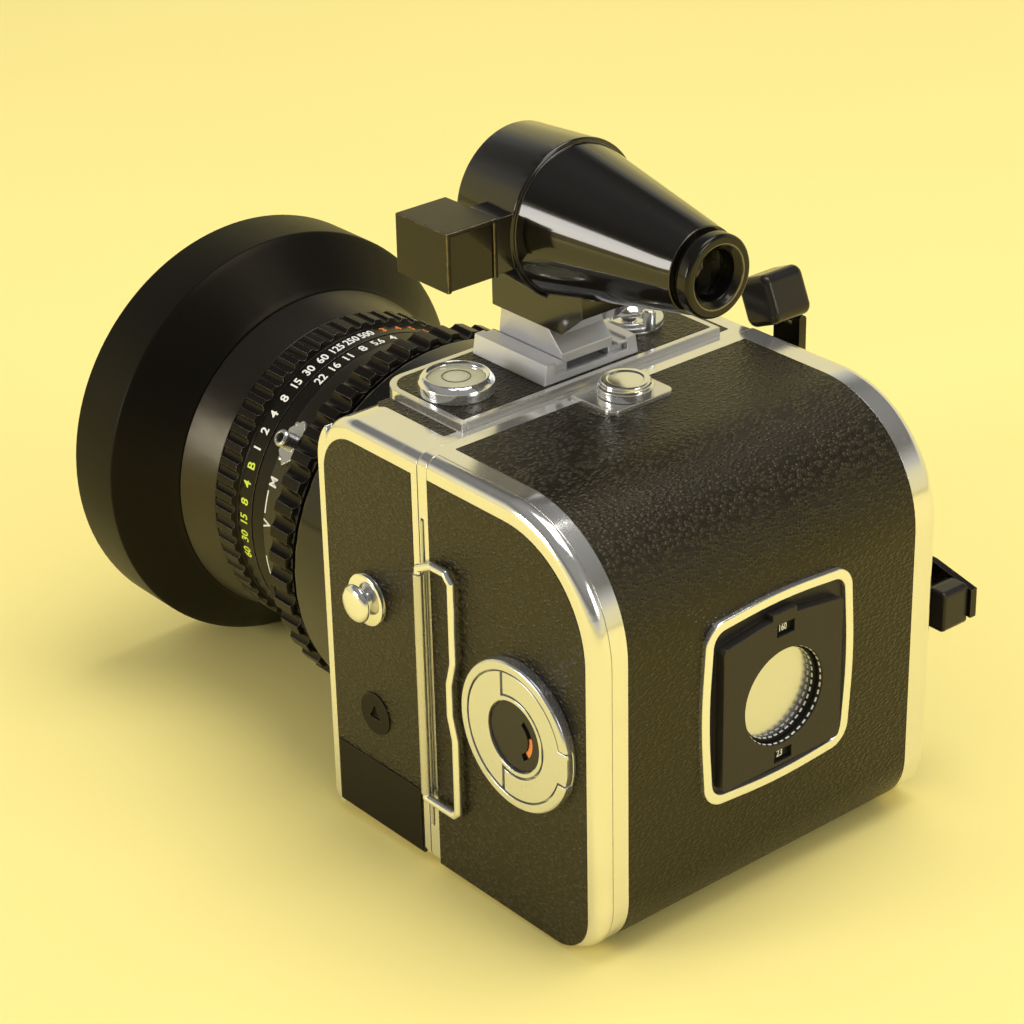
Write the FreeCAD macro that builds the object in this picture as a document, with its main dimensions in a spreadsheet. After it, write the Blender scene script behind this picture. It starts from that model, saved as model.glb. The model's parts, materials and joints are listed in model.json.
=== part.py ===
import FreeCAD, Part
import Sketcher
import math
import os

# Medium format wide angle camera with a film magazine, a lift-off optical finder and a lens shade.
# Millimetres. +Z is up, the lens points to -Y, the magazine is at +Y, and +X is the camera's left side.
# The origin is on the flat base, under the lens axis, in the joint between the body and the magazine.

V = FreeCAD.Vector

DRIVING_SIZES = (
    # Body casing
    ("body_width", 89.2, "across the polished side edges"),
    ("body_height", 90.0, "base to top face"),
    ("body_depth", 31.5, "front face to the magazine joint"),
    ("body_corner", 11.0, "round of the top front corner"),
    ("foot_corner", 3.0, "round of the bottom front corner"),
    ("edge_round", 2.4, "round along the side edges"),
    ("body_wall", 2.4, "casting wall"),
    ("joint_gap", 0.3, "gap between body and magazine"),
    ("lens_height", 43.2, "lens axis above the base"),
    ("leather_thickness", 0.8, "covering sheet"),
    ("leather_proud", 0.1, "covering above its frame"),
    ("side_leather_front", 1.9, "polished frame before the side covering"),
    ("side_leather_rear", 2.0, "polished frame behind the side covering"),
    ("side_leather_bottom", 0.9, "polished frame under the side covering"),
    ("side_leather_top", 4.1, "polished frame over the side covering"),
    ("front_plate_margin", 3.0, "frame around the front covering"),
    # Top of the body
    ("top_plate_left", 31.6, "left edge of the raised top plate"),
    ("top_plate_right", 36.0, "right edge of the raised top plate"),
    ("top_plate_front", 28.5, "front edge of the raised top plate"),
    ("top_plate_rear", 2.3, "rear edge of the raised top plate"),
    ("top_plate_rise", 1.8, "raised top plate above the casing"),
    ("top_plate_corner", 6.0, "front corners of the raised plate"),
    ("top_rim", 1.5, "polished rim around the top covering"),
    ("edge_strip_width", 3.0, "covering strip beside the raised plate"),
    ("edge_strip_length", 20.5, "covering strip along the body"),
    ("level_x", 22.5, "bubble level across"),
    ("level_y", -15.0, "bubble level along"),
    ("level_radius", 7.6, "bubble level housing"),
    ("level_glass_radius", 5.7, "bubble level glass"),
    ("level_rise", 3.4, "bubble level housing above the covering"),
    ("shoe_x", -3.0, "middle of the accessory shoe"),
    ("shoe_width", 24.6, "accessory shoe across"),
    ("shoe_front", 26.2, "front end of the shoe"),
    ("shoe_rear", 4.2, "rear end of the shoe"),
    ("shoe_rise", 4.2, "shoe above the covering"),
    ("shoe_floor", 1.0, "floor of the shoe"),
    ("shoe_channel_width", 18.7, "channel of the shoe"),
    ("shoe_channel_height", 2.1, "channel under the lips"),
    ("shoe_mouth_width", 13.6, "mouth between the lips"),
    ("shoe_stop", 1.2, "low stop at the rear of the channel"),
    ("shoe_stop_height", 0.6, "height of the low stop"),
    ("shoe_draft", 0.7, "lean of the shoe's sides"),
    ("shoe_step", 0.5, "step in the top of the shoe's lips"),
    ("release_x", -24.0, "shutter release across"),
    ("release_y", -16.5, "shutter release along"),
    ("release_radius", 4.2, "shutter release button"),
    ("release_rise", 3.6, "button above its collar"),
    ("release_travel", 2.0, "button stroke"),
    ("collar_radius", 7.0, "collar around the button"),
    ("collar_rise", 1.6, "collar above the covering"),
    ("collar_wall", 0.5, "upright wall of the collar"),
    ("lock_ring_height", 0.95, "release lock ring"),
    ("lock_pin_reach", 6.4, "lock pin from the button's middle"),
    ("lock_pin_radius", 1.3, "lock pin"),
    ("lock_pin_height", 4.4, "lock pin height"),
    # Base and sides of the body
    ("foot_plate_width", 52.0, "base plate across"),
    ("foot_plate_rear", 3.0, "base plate behind the front face"),
    ("foot_plate_depth", 25.0, "base plate along"),
    ("foot_plate_thickness", 4.2, "base plate with its tripod bush"),
    ("tripod_radius", 3.175, "tripod thread, quarter inch"),
    ("tripod_depth", 4.0, "tripod thread length"),
    ("tripod_y", -15.5, "tripod thread along"),
    ("stud_y", -16.5, "left strap stud along"),
    ("stud_z", 53.3, "left strap stud height"),
    ("right_stud_y", -22.0, "right strap stud along"),
    ("right_stud_z", 16.0, "right strap stud height, below the winding crank's sweep"),
    ("stud_flange_radius", 5.5, "strap stud flange"),
    ("stud_head_radius", 4.0, "strap stud head"),
    ("stud_length", 4.8, "strap stud standing out"),
    ("plug_y", -16.3, "socket plug along"),
    ("plug_z", 27.0, "socket plug height"),
    ("plug_radius", 4.6, "socket plug"),
    ("plate_height", 14.4, "bare name plate height"),
    ("hook_spread", 26.0, "magazine hooks from the middle"),
    ("hook_width", 8.0, "magazine hook"),
    ("hook_bar_half", 31.0, "half of the bar that carries the hooks"),
    ("hook_thickness", 1.8, "magazine hook height"),
    # Lens along its axis, measured forwards from the magazine joint
    ("flange_radius", 40.6, "smooth lens flange"),
    ("flange_front", 49.0, "front of the lens flange"),
    ("focus_radius", 41.2, "focusing ring over its teeth"),
    ("focus_rear", 49.6, "rear of the focusing ring"),
    ("focus_front", 56.6, "front of the focusing ring"),
    ("focus_teeth", 46, "grooves round the focusing ring"),
    ("tube_radius", 34.7, "sliding lens tube"),
    ("tube_wall", 2.1, "sliding lens tube wall"),
    ("running_gap", 0.05, "radial clearance of rings and shafts"),
    ("aperture_front", 71.0, "front of the aperture ring"),
    ("aperture_rear", 67.0, "rear of the aperture ring"),
    ("speed_rear", 71.3, "rear of the speed ring"),
    ("speed_band", 76.2, "front of the speed ring's number band"),
    ("speed_front", 83.4, "front of the speed ring"),
    ("speed_radius", 36.0, "speed ring over its teeth"),
    ("speed_teeth", 60, "grooves round the speed ring"),
    ("barrel_rear_radius", 35.3, "front barrel at the speed ring"),
    ("barrel_front_radius", 37.2, "front barrel at the shade"),
    ("barrel_front", 94.2, "front of the satin barrel"),
    ("shade_radius", 47.4, "lens shade rim"),
    ("shade_rim_front", 120.4, "front of the lens shade"),
    ("shade_rim_rear", 105.4, "rear of the shade's rim"),
    ("shade_wall", 1.5, "lens shade wall"),
    ("shade_seat_radius", 35.6, "seat of the shade on the barrel"),
    ("front_glass_radius", 27.0, "front lens"),
    ("rear_glass_radius", 16.0, "rear lens"),
    # Finder
    ("finder_x", -3.0, "finder axis across"),
    ("finder_z", 122.3, "finder axis height"),
    ("hood_radius", 16.2, "finder hood at its rear step"),
    ("hood_front_radius", 15.0, "finder hood at its front"),
    ("hood_front", -27.0, "front of the hood"),
    ("hood_rear", -8.5, "step behind the hood"),
    ("cone_radius", 15.3, "cone behind the hood"),
    ("cone_rear", 27.0, "rear of the cone"),
    ("cone_end_radius", 8.6, "cone at the eyepiece"),
    ("eyepiece_radius", 8.2, "eyepiece ring"),
    ("eyepiece_rear", 31.4, "rear of the eyepiece ring"),
    ("eyepiece_hole", 4.9, "eyepiece opening"),
    ("finder_wall", 1.4, "finder casing wall"),
    ("finder_block_width", 15.0, "block under the finder"),
    ("finder_block_bottom", 101.4, "underside of the block"),
    ("foot_width", 13.1, "finder foot between the shoe's lips"),
    ("foot_rail_width", 18.5, "finder foot in the shoe's channel"),
    ("foot_rail_height", 1.9, "finder foot rail"),
    ("foot_web", 1.2, "walls of the foot beside the hollow between its rails"),
    ("foot_slope", 4.5, "slope at the foot's rear"),
    ("prism_box_outer", 29.0, "outer face of the level mirror box"),
    ("prism_box_front", -24.0, "front face of the level mirror box"),
    ("prism_box_depth", 15.6, "level mirror box along"),
    ("prism_box_bottom", 115.6, "underside of the level mirror box"),
    ("prism_box_height", 12.2, "level mirror box height"),
    ("prism_box_length", 12.4, "level mirror box across"),
    # Magazine
    ("magazine_depth", 51.2, "joint to the back face"),
    ("magazine_top", 90.5, "top face of the magazine"),
    ("magazine_top_round", 26.0, "round of the top rear corner"),
    ("magazine_foot_round", 13.0, "round of the bottom rear corner"),
    ("magazine_wall", 3.0, "magazine casting wall"),
    ("magazine_edge_round", 2.6, "round along the magazine's side edges"),
    ("magazine_front_wall", 3.4, "front wall with the dark slide slot"),
    ("wrap_half_width", 37.6, "half of the covering over top and back"),
    ("wrap_front", 3.2, "polished rim before the top covering"),
    ("aperture_width", 56.0, "film gate width and height"),
    ("gate_depth", 3.8, "film gate thickness"),
    ("gate_rim", 6.0, "film gate around its opening"),
    ("pressure_gap", 0.6, "film channel"),
    ("pressure_sheet", 1.2, "pressure plate"),
    ("pressure_rim", 3.0, "pressure plate above and below the opening"),
    ("cover_thickness", 3.0, "film holder's outer plate"),
    ("cover_front", 3.0, "front edge of the film holder's plate"),
    ("cover_leather_top", 86.2, "top of the side covering"),
    ("cover_leather_bottom", 0.8, "bottom of the side covering"),
    ("cover_leather_rear", 47.3, "rear of the side covering"),
    ("cover_leather_round_top", 22.0, "top rear round of the side covering"),
    ("cover_leather_round_foot", 9.0, "bottom rear round of the side covering"),
    ("tongue_x", -1.4, "middle of the release tongue"),
    ("tongue_width", 16.6, "release tongue across"),
    ("tongue_front", 0.9, "front of the release tongue"),
    ("tongue_rear", 12.8, "rear of the release tongue"),
    ("tongue_rise", 0.9, "tongue above the covering"),
    ("catch_button_radius", 5.6, "magazine release button"),
    ("catch_button_y", 7.4, "magazine release button along"),
    ("catch_button_rise", 3.0, "button above the tongue"),
    ("catch_travel", 3.0, "sideways travel of the button"),
    ("window_width", 40.8, "back window frame across its bowed sides"),
    ("window_height", 42.0, "back window frame height"),
    ("window_z", 45.5, "back window frame centre height"),
    ("window_bow", 1.4, "bow of the frame's sides"),
    ("window_bow_radius", 110.0, "round in the middle of each bowed side"),
    ("window_corner", 5.0, "corners of the back window frame"),
    ("window_rim", 2.0, "back window frame rim"),
    ("window_rise", 1.2, "back window frame above the covering"),
    ("memo_base", 0.9, "memo plate under its raised block"),
    ("memo_x", 0.3, "middle of the raised block"),
    ("memo_width", 31.4, "raised block across"),
    ("memo_bottom", 29.2, "lower edge of the raised block"),
    ("memo_top", 59.8, "upper corners of the raised block"),
    ("memo_tab", 3.2, "half the width of the tab on the memo block"),
    ("memo_crown", 2.2, "rise of the block's upper edge"),
    ("memo_rise", 2.5, "raised block above the covering"),
    ("dial_x", 0.0, "film dial across"),
    ("dial_z", 44.1, "film dial height"),
    ("dial_well_radius", 10.3, "film dial well"),
    ("dial_wall", 0.5, "upright ring of the film dial"),
    ("dial_ring", 1.7, "height of the film dial's ring"),
    # Dark slide and its handle
    ("blade_y", 1.1, "dark slide along"),
    ("blade_thickness", 0.5, "dark slide sheet"),
    ("blade_height", 68.0, "dark slide height"),
    ("blade_reach", 33.0, "dark slide beyond the lens axis"),
    ("sleeve_out", 1.4, "sleeve centre beyond the side face"),
    ("sleeve_radius", 1.1, "rolled sleeve"),
    ("sleeve_bottom", 17.2, "bottom of the sleeve"),
    ("sleeve_top", 66.3, "top of the sleeve"),
    ("bail_wire", 0.85, "radius of the bail wire"),
    ("bail_reach", 9.9, "bail beyond its pivot"),
    ("bail_rise", 2.0, "rise of the bail's upper arm"),
    ("bail_dent", 1.3, "shallow bend in the bail"),
    ("bail_room", 1.0, "room between the bail and what slides out behind it"),
    # Film holder and key
    ("key_y", 29.4, "film holder key along"),
    ("key_z", 43.2, "film holder key height"),
    ("key_radius", 15.4, "film holder key"),
    ("key_rise", 2.4, "key above the side covering"),
    ("key_rim", 1.9, "rim of the key"),
    ("key_hub_radius", 7.2, "window disc in the key"),
    ("flap_line", 26.5, "hinge line of the folding flap"),
    ("spool_radius", 12.0, "spool flanges"),
    ("spool_core", 5.5, "spool core"),
    ("spool_inset", 12.6, "side face to the end of a spool"),
    ("carrier_bottom", 8.0, "lower end of the carrier plates"),
    ("carrier_top", 79.0, "upper end of the carrier plates"),
    ("carrier_sheet", 1.6, "carrier plates"),
    ("spool_y", 30.0, "spools and magazine crank along"),
    ("feed_z", 19.2, "feed spool height"),
    ("takeup_z", 66.8, "take-up spool height"),
    ("gear_teeth", 24, "teeth of each magazine gear"),
    # Cranks
    ("winding_y", -14.0, "winding crank along"),
    ("winding_z", 66.0, "winding crank height"),
    ("winding_hub", 9.0, "winding crank hub"),
    ("winding_step", 6.5, "outer step of the winding crank hub"),
    ("winding_gear_teeth", 20, "teeth of the winding gears"),
    ("gear_module", 1.0, "tooth size of the winding gears"),
    ("crank_out", 13.7, "winding crank arm beyond the side covering"),
    ("arm_thickness", 2.0, "winding crank arm"),
    ("arm_width", 7.6, "winding crank arm width"),
    ("arm_end_y", -5.6, "upper end of the arm along"),
    ("knob_hinge_z", 86.6, "hinge of the folding knob height"),
    ("knob_barrel", 1.0, "radius of the knob's hinge barrel"),
    ("knob_knuckle", 2.8, "knob's hinge knuckle along"),
    ("knob_y", -3.7, "folding knob centre along"),
    ("knob_z", 93.4, "folding knob centre height"),
    ("knob_length", 10.8, "folding knob across"),
    ("knob_thickness", 9.4, "folding knob along"),
    ("knob_height", 10.6, "folding knob height"),
    ("knob_lean", 23.6, "lean of the folding knob in degrees"),
    ("knob_round", 2.2, "long edges of the folding knob"),
    ("magazine_crank_z", 43.2, "magazine crank height"),
    ("magazine_hub", 8.5, "magazine crank hub"),
    ("magazine_hub_step", 6.0, "outer step of the magazine crank hub"),
    ("magazine_crank_out", 12.3, "magazine crank arm beyond the side covering"),
    ("magazine_arm", 1.6, "magazine crank arm"),
    ("grip_y", 45.5, "turning grip of the magazine crank along"),
    ("grip_z", 41.0, "turning grip height"),
    ("grip_width", 7.0, "turning grip along"),
    ("grip_height", 9.0, "turning grip height over all"),
    ("grip_length", 6.8, "turning grip across"),
    ("grip_pin", 1.2, "radius of the grip's pin"),
)

doc = FreeCAD.newDocument("MediumFormatCamera")
sheet = doc.addObject("Spreadsheet::Sheet", "Sizes")


class Size:
    """A number together with the sheet formula that it follows."""

    def __init__(self, value, formula=None):
        self.value = float(value)
        self.formula = repr(float(value)) if formula is None else formula

    def _join(self, other, sign, value):
        return Size(value, "(%s %s %s)" % (self.formula, sign, as_size(other).formula))

    def __add__(self, other):
        return self._join(other, "+", self.value + as_size(other).value)

    def __radd__(self, other):
        return as_size(other) + self

    def __sub__(self, other):
        return self._join(other, "-", self.value - as_size(other).value)

    def __rsub__(self, other):
        return as_size(other) - self

    def __mul__(self, other):
        return self._join(other, "*", self.value * as_size(other).value)

    def __rmul__(self, other):
        return as_size(other) * self

    def __truediv__(self, other):
        return self._join(other, "/", self.value / as_size(other).value)

    def __rtruediv__(self, other):
        return as_size(other) / self

    def __neg__(self):
        return Size(0) - self


def as_size(number):
    """Return a plain number as a Size, and a Size as it is."""
    return number if isinstance(number, Size) else Size(number)


class Sheet:
    """The driving sizes by name."""


size = Sheet()
for row, (alias, amount, meaning) in enumerate(DRIVING_SIZES, 1):
    sheet.set("A%d" % row, alias)
    sheet.set("B%d" % row, str(amount))
    sheet.set("C%d" % row, meaning)
    sheet.setAlias("B%d" % row, alias)
    setattr(size, alias, Size(amount, "Sizes." + alias))
doc.recompute()

TURN_ONTO = {
    "X": FreeCAD.Rotation(V(0, 0, 1), -90),
    "Y": FreeCAD.Rotation(),
    "Z": FreeCAD.Rotation(V(1, 0, 0), 90),
}
CYLINDER_ONTO = {
    "X": FreeCAD.Rotation(V(0, 1, 0), 90),
    "Y": FreeCAD.Rotation(V(1, 0, 0), -90),
    "Z": FreeCAD.Rotation(),
}
nodes = []


def bind(item, path, amount):
    """Make one property of an object follow the sheet."""
    item.setExpression(path, as_size(amount).formula)


def place(item, x=0, y=0, z=0):
    """Bind an object's position to the sheet."""
    bind(item, "Placement.Base.x", x)
    bind(item, "Placement.Base.y", y)
    bind(item, "Placement.Base.z", z)


def part(item, label):
    """Name a finished piece, which is then written to a file of that name."""
    item.Label = label
    nodes.append(item)
    return item


def block(name, x, y, z):
    """A box between pairs of sizes on each axis."""
    item = doc.addObject("Part::Box", name)
    for path, (low, high) in (("Length", x), ("Width", y), ("Height", z)):
        bind(item, path, as_size(high) - low)
    place(item, x[0], y[0], z[0])
    return item


def rod(name, axis, centre, radius, start, end):
    """A cylinder along an axis. The centre is its place on the two other axes, in X, Y, Z order."""
    item = doc.addObject("Part::Cylinder", name)
    bind(item, "Radius", radius)
    bind(item, "Height", as_size(end) - start)
    item.Placement.Rotation = CYLINDER_ONTO[axis]
    first, second = centre
    where = {"X": (start, first, second), "Y": (first, start, second), "Z": (first, second, start)}
    place(item, *where[axis])
    return item


def fuse(name, *items):
    """Join pieces, or hold separate solids as one group."""
    item = doc.addObject("Part::MultiFuse", name)
    item.Shapes = list(items)
    return item


def cut(name, base, *tools):
    """Take tools away from a base."""
    item = doc.addObject("Part::Cut", name)
    item.Base = base
    item.Tool = tools[0] if len(tools) == 1 else fuse(name + "_tools", *tools)
    return item


def common(name, *items):
    """Keep what all the pieces share."""
    item = doc.addObject("Part::MultiCommon", name)
    item.Shapes = list(items)
    return item


def outline_sketch(body, plane, points):
    """A closed outline of straight lines in a body's origin plane, every corner bound to the sheet."""
    sketch = body.newObject("Sketcher::SketchObject", body.Name + "_outline")
    support = [item for item in body.Origin.OriginFeatures if item.Role == plane][0]
    sketch.AttachmentSupport = [(support, "")]
    sketch.MapMode = "FlatFace"
    corners = [(as_size(across), as_size(up)) for across, up in points]
    count = len(corners)
    for here, there in zip(corners, corners[1:] + corners[:1]):
        start = V(here[0].value, here[1].value, 0)
        end = V(there[0].value, there[1].value, 0)
        sketch.addGeometry(Part.LineSegment(start, end), False)
    for index in range(count):
        sketch.addConstraint(Sketcher.Constraint("Coincident", index, 2, (index + 1) % count, 1))
    for index, corner in enumerate(corners):
        for kind, amount in zip(("DistanceX", "DistanceY"), corner):
            number = sketch.addConstraint(Sketcher.Constraint(kind, -1, 1, index, 1, amount.value))
            sketch.setExpression("Constraints[%d]" % number, amount.formula)
    return sketch


def turned(name, axis, centre, profile):
    """A body of revolution. The profile holds pairs of radius and place along the axis."""
    body = doc.addObject("PartDesign::Body", name)
    sketch = outline_sketch(body, "XY_Plane", profile)
    turn = body.newObject("PartDesign::Revolution", name + "_turn")
    turn.Profile = sketch
    turn.ReferenceAxis = (sketch, ["V_Axis"])
    turn.Angle = 360
    body.Placement.Rotation = TURN_ONTO[axis]
    first, second = centre
    where = {"X": (0, first, second), "Y": (first, 0, second), "Z": (first, second, 0)}
    place(body, *where[axis])
    doc.recompute()
    return body


def ring(name, axis, centre, outer, inner, start, end):
    """A plain ring along an axis."""
    return turned(name, axis, centre, ((inner, start), (outer, start), (outer, end), (inner, end)))


def is_at(edge, axis, amount):
    """Say whether an edge lies in the plane at one place on an axis."""
    box = edge.BoundBox
    low = {"X": box.XMin, "Y": box.YMin, "Z": box.ZMin}[axis]
    high = {"X": box.XMax, "Y": box.YMax, "Z": box.ZMax}[axis]
    return abs(low - amount) < 0.01 and abs(high - amount) < 0.01


def round_off(body, tip, radius, choose):
    """Round the edges of a body that a test chooses, by a size of the sheet."""
    doc.recompute()
    fillet = body.newObject("PartDesign::Fillet", tip.Name + "_round")
    names = ["Edge%d" % (index + 1) for index, edge in enumerate(tip.Shape.Edges) if choose(edge)]
    fillet.Base = (tip, names)
    bind(fillet, "Radius", radius)
    return fillet


def sheet_piece(name, plane, points, thickness, start, rounds=(), soft=None):
    """An outline given a thickness, with some of its corners rounded.

    The plane is the one the outline lies in, start is the low side along its normal, each entry of
    rounds is a corner with its radius, and soft is a radius with a test for more edges to round.
    """
    normal = {"YZ_Plane": "X", "XZ_Plane": "Y", "XY_Plane": "Z"}[plane]
    body = doc.addObject("PartDesign::Body", name)
    sketch = outline_sketch(body, plane, points)
    tip = body.newObject("PartDesign::Pad", name + "_pad")
    tip.Profile = sketch
    tip.Reversed = plane == "XZ_Plane"
    bind(tip, "Length", thickness)
    first, second = {"X": ("Y", "Z"), "Y": ("X", "Z"), "Z": ("X", "Y")}[normal]
    for (across, up), radius in rounds:
        near = as_size(across).value, as_size(up).value
        tip = round_off(body, tip, radius,
            lambda edge: is_at(edge, first, near[0]) and is_at(edge, second, near[1]))
    if soft:
        tip = round_off(body, tip, soft[0], soft[1])
    body.Tip = tip
    offset = {"X": (start, 0, 0), "Y": (0, start, 0), "Z": (0, 0, start)}
    place(body, *offset[normal])
    doc.recompute()
    return body


def rectangle(low, high, bottom, top):
    """Corners of a rectangle, from the low corner round."""
    return ((low, bottom), (high, bottom), (high, top), (low, top))


def bowed(half, low, high, bow):
    """Corners and middles of an outline whose four sides bow outwards, from the low corner round."""
    middle = (low + high) / 2
    return (
        (-half + bow, low + bow), (0, low), (half - bow, low + bow), (half, middle),
        (half - bow, high - bow), (0, high), (-half + bow, high - bow), (-half, middle),
    )


def bowed_rounds(points, corner, side):
    """Rounds of a bowed outline: its corners by one radius, and its sides' middles by another."""
    return [(point, side if index % 2 else corner) for index, point in enumerate(points)]


def grooved(body, radius, groove, count, start, end):
    """Cut a groove along a body's turning axis and repeat it all round."""
    sketch = body.newObject("Sketcher::SketchObject", body.Name + "_groove")
    support = [item for item in body.Origin.OriginFeatures if item.Role == "XZ_Plane"][0]
    sketch.AttachmentSupport = [(support, "")]
    sketch.MapMode = "FlatFace"
    bind(sketch, "AttachmentOffset.Base.z", -as_size(end))
    sketch.addGeometry(Part.Circle(V(as_size(radius).value, 0, 0), V(0, 0, 1), as_size(groove).value),
        False)
    sketch.addConstraint(Sketcher.Constraint("PointOnObject", 0, 3, -1))
    across = sketch.addConstraint(Sketcher.Constraint("DistanceX", -1, 1, 0, 3, as_size(radius).value))
    wide = sketch.addConstraint(Sketcher.Constraint("Radius", 0, as_size(groove).value))
    sketch.setExpression("Constraints[%d]" % across, as_size(radius).formula)
    sketch.setExpression("Constraints[%d]" % wide, as_size(groove).formula)
    whole = body.Shape.Volume
    pocket = body.newObject("PartDesign::Pocket", body.Name + "_pocket")
    pocket.Profile = sketch
    pocket.Reversed = True
    bind(pocket, "Length", as_size(end) - start)
    doc.recompute()
    if pocket.Shape.Volume > whole - 0.01:
        pocket.Reversed = False
        doc.recompute()
    if pocket.Shape.Volume > whole - 0.01:
        raise RuntimeError("the groove of " + body.Name + " cuts nothing")
    pattern = body.newObject("PartDesign::PolarPattern", body.Name + "_pattern")
    pattern.Originals = [pocket]
    pattern.Axis = (sketch, ["N_Axis"])
    pattern.Angle = 360
    bind(pattern, "Occurrences", count)
    body.Tip = pattern
    doc.recompute()
    return body


def gear(name, centre, teeth, module, start, width, bore, half_step):
    """A spur gear along X with straight flanks and backlash."""
    pitch_radius = module * teeth / 2
    root = pitch_radius - module * 1.25
    tip_radius = pitch_radius + module * 0.9
    step = module * math.pi
    body = ring(name, "X", centre, root, bore, start, as_size(start) + width)
    sketch = body.newObject("Sketcher::SketchObject", name + "_tooth")
    support = [item for item in body.Origin.OriginFeatures if item.Role == "XZ_Plane"][0]
    sketch.AttachmentSupport = [(support, "")]
    sketch.MapMode = "FlatFace"
    bind(sketch, "AttachmentOffset.Base.z", -as_size(start))
    corners = (
        (root - 0.3, -step * 0.27), (tip_radius, -step * 0.11),
        (tip_radius, step * 0.11), (root - 0.3, step * 0.27),
    )
    for here, there in zip(corners, corners[1:] + corners[:1]):
        line = Part.LineSegment(V(here[0].value, here[1].value, 0),
            V(there[0].value, there[1].value, 0))
        sketch.addGeometry(line, False)
    for index in range(4):
        sketch.addConstraint(Sketcher.Constraint("Coincident", index, 2, (index + 1) % 4, 1))
        for kind, amount in zip(("DistanceX", "DistanceY"), corners[index]):
            number = sketch.addConstraint(Sketcher.Constraint(kind, -1, 1, index, 1, amount.value))
            sketch.setExpression("Constraints[%d]" % number, amount.formula)
    pad = body.newObject("PartDesign::Pad", name + "_tooth_pad")
    pad.Profile = sketch
    pad.Reversed = True
    bind(pad, "Length", width)
    pattern = body.newObject("PartDesign::PolarPattern", name + "_teeth")
    pattern.Originals = [pad]
    pattern.Axis = (sketch, ["N_Axis"])
    pattern.Angle = 360
    bind(pattern, "Occurrences", teeth)
    body.Tip = pattern
    if half_step:
        turn = FreeCAD.Rotation(V(1, 0, 0), 180.0 / teeth.value)
        body.Placement.Rotation = turn.multiply(TURN_ONTO["X"])
        place(body, 0, *centre)
    doc.recompute()
    return body


# Places that many pieces share
side = size.body_width / 2
front = -size.body_depth
half_joint = size.joint_gap / 2
body_rear = -half_joint
body_top = size.body_height
axis_z = size.lens_height
blade_low = axis_z - size.blade_height / 2
blade_high = axis_z + size.blade_height / 2
lens_axis = (0, axis_z)
inset = size.leather_thickness - size.leather_proud
leather_side = side + size.leather_proud
plate_top = body_top + size.top_plate_rise
covering_top = plate_top + size.leather_proud
gap = size.running_gap


def on_outline(low, high, skip):
    """A test for the edges of the two side faces, leaving out those in the joint plane."""
    def choose(edge):
        lies_on_side = is_at(edge, "X", low) or is_at(edge, "X", high)
        return lies_on_side and not is_at(edge, "Y", skip)
    return choose


# Body casing: its side edges are rounded, but the frame along the front keeps sharp ones
body_points = rectangle(front, body_rear, 0, body_top)
body_rounds = (((front, body_top), size.body_corner), ((front, 0), size.foot_corner))
rounded_blank = sheet_piece(
    "rounded_blank", "YZ_Plane", body_points, size.body_width, -side, rounds=body_rounds,
    soft=(size.edge_round, on_outline(0, size.body_width.value, body_rear.value)),
)
sharp_blank = sheet_piece(
    "sharp_blank", "YZ_Plane", body_points, size.body_width, -side, rounds=body_rounds)
behind_frame = block(
    "behind_frame", (-side - 1, side + 1), (front + size.edge_round + 0.5, 1), (-1, body_top + 1))
body_blank = fuse("body_blank", rounded_blank, cut("front_frame", sharp_blank, behind_frame))
inner_side = side - size.body_wall - inset
body_cavity = block(
    "body_cavity", (-inner_side, inner_side), (front + size.body_wall, 1),
    (size.foot_plate_thickness + 0.4, body_top - size.body_wall - 0.6),
)
lens_hole = rod("lens_hole", "Y", lens_axis, 30.2, front - 1, front + size.body_wall + 1)

leather_outline = rectangle(
    front + size.side_leather_front, body_rear - size.side_leather_rear + half_joint,
    size.side_leather_bottom, body_top - size.side_leather_top,
)
leather_corner = (leather_outline[3], size.body_corner - size.side_leather_front)
left_leather = sheet_piece(
    "left_leather", "YZ_Plane", leather_outline, size.leather_thickness, side - inset,
    rounds=(leather_corner,))
right_leather = sheet_piece(
    "right_leather", "YZ_Plane", leather_outline, size.leather_thickness, -leather_side,
    rounds=(leather_corner,))

front_margin = side - size.front_plate_margin
front_plate_blank = block(
    "front_plate_blank", (-front_margin, front_margin), (front, front + size.leather_thickness),
    (size.foot_corner, body_top - size.body_corner),
)
front_plate = part(cut("front_plate_cut", front_plate_blank, lens_hole), "front_plate")

foot_half = size.foot_plate_width / 2
foot_y = (front + size.foot_plate_rear, front + size.foot_plate_rear + size.foot_plate_depth)
foot_blank = block("foot_blank", (-foot_half, foot_half), foot_y, (0, size.foot_plate_thickness))
tripod_hole = rod("tripod_hole", "Z", (0, size.tripod_y), size.tripod_radius, -1, size.tripod_depth)
base_foot = part(cut("base_foot_cut", foot_blank, tripod_hole), "base_foot")

crank_shaft_radius = 2.5
winding_axis = (size.winding_y, size.winding_z)
crank_hole = rod("crank_hole", "X", winding_axis, crank_shaft_radius + gap, -side - 1, -inner_side + 1)
release_stem_radius = 1.5
release_axis = (size.release_x, size.release_y)
stem_hole = rod("stem_hole", "Z", release_axis, release_stem_radius + gap, body_top - 6, plate_top + 6)

strip_low = size.top_plate_left + 0.4
strip_y = (body_rear - 3.4 - size.edge_strip_length, body_rear - 3.4)
left_strip = block(
    "left_strip", (strip_low, strip_low + size.edge_strip_width), strip_y,
    (body_top - 0.8, body_top + 0.1))
right_low = -size.top_plate_right - 0.4 - size.edge_strip_width
right_strip = block(
    "right_strip", (right_low, right_low + size.edge_strip_width), strip_y,
    (body_top - 0.8, body_top + 0.1))

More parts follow.
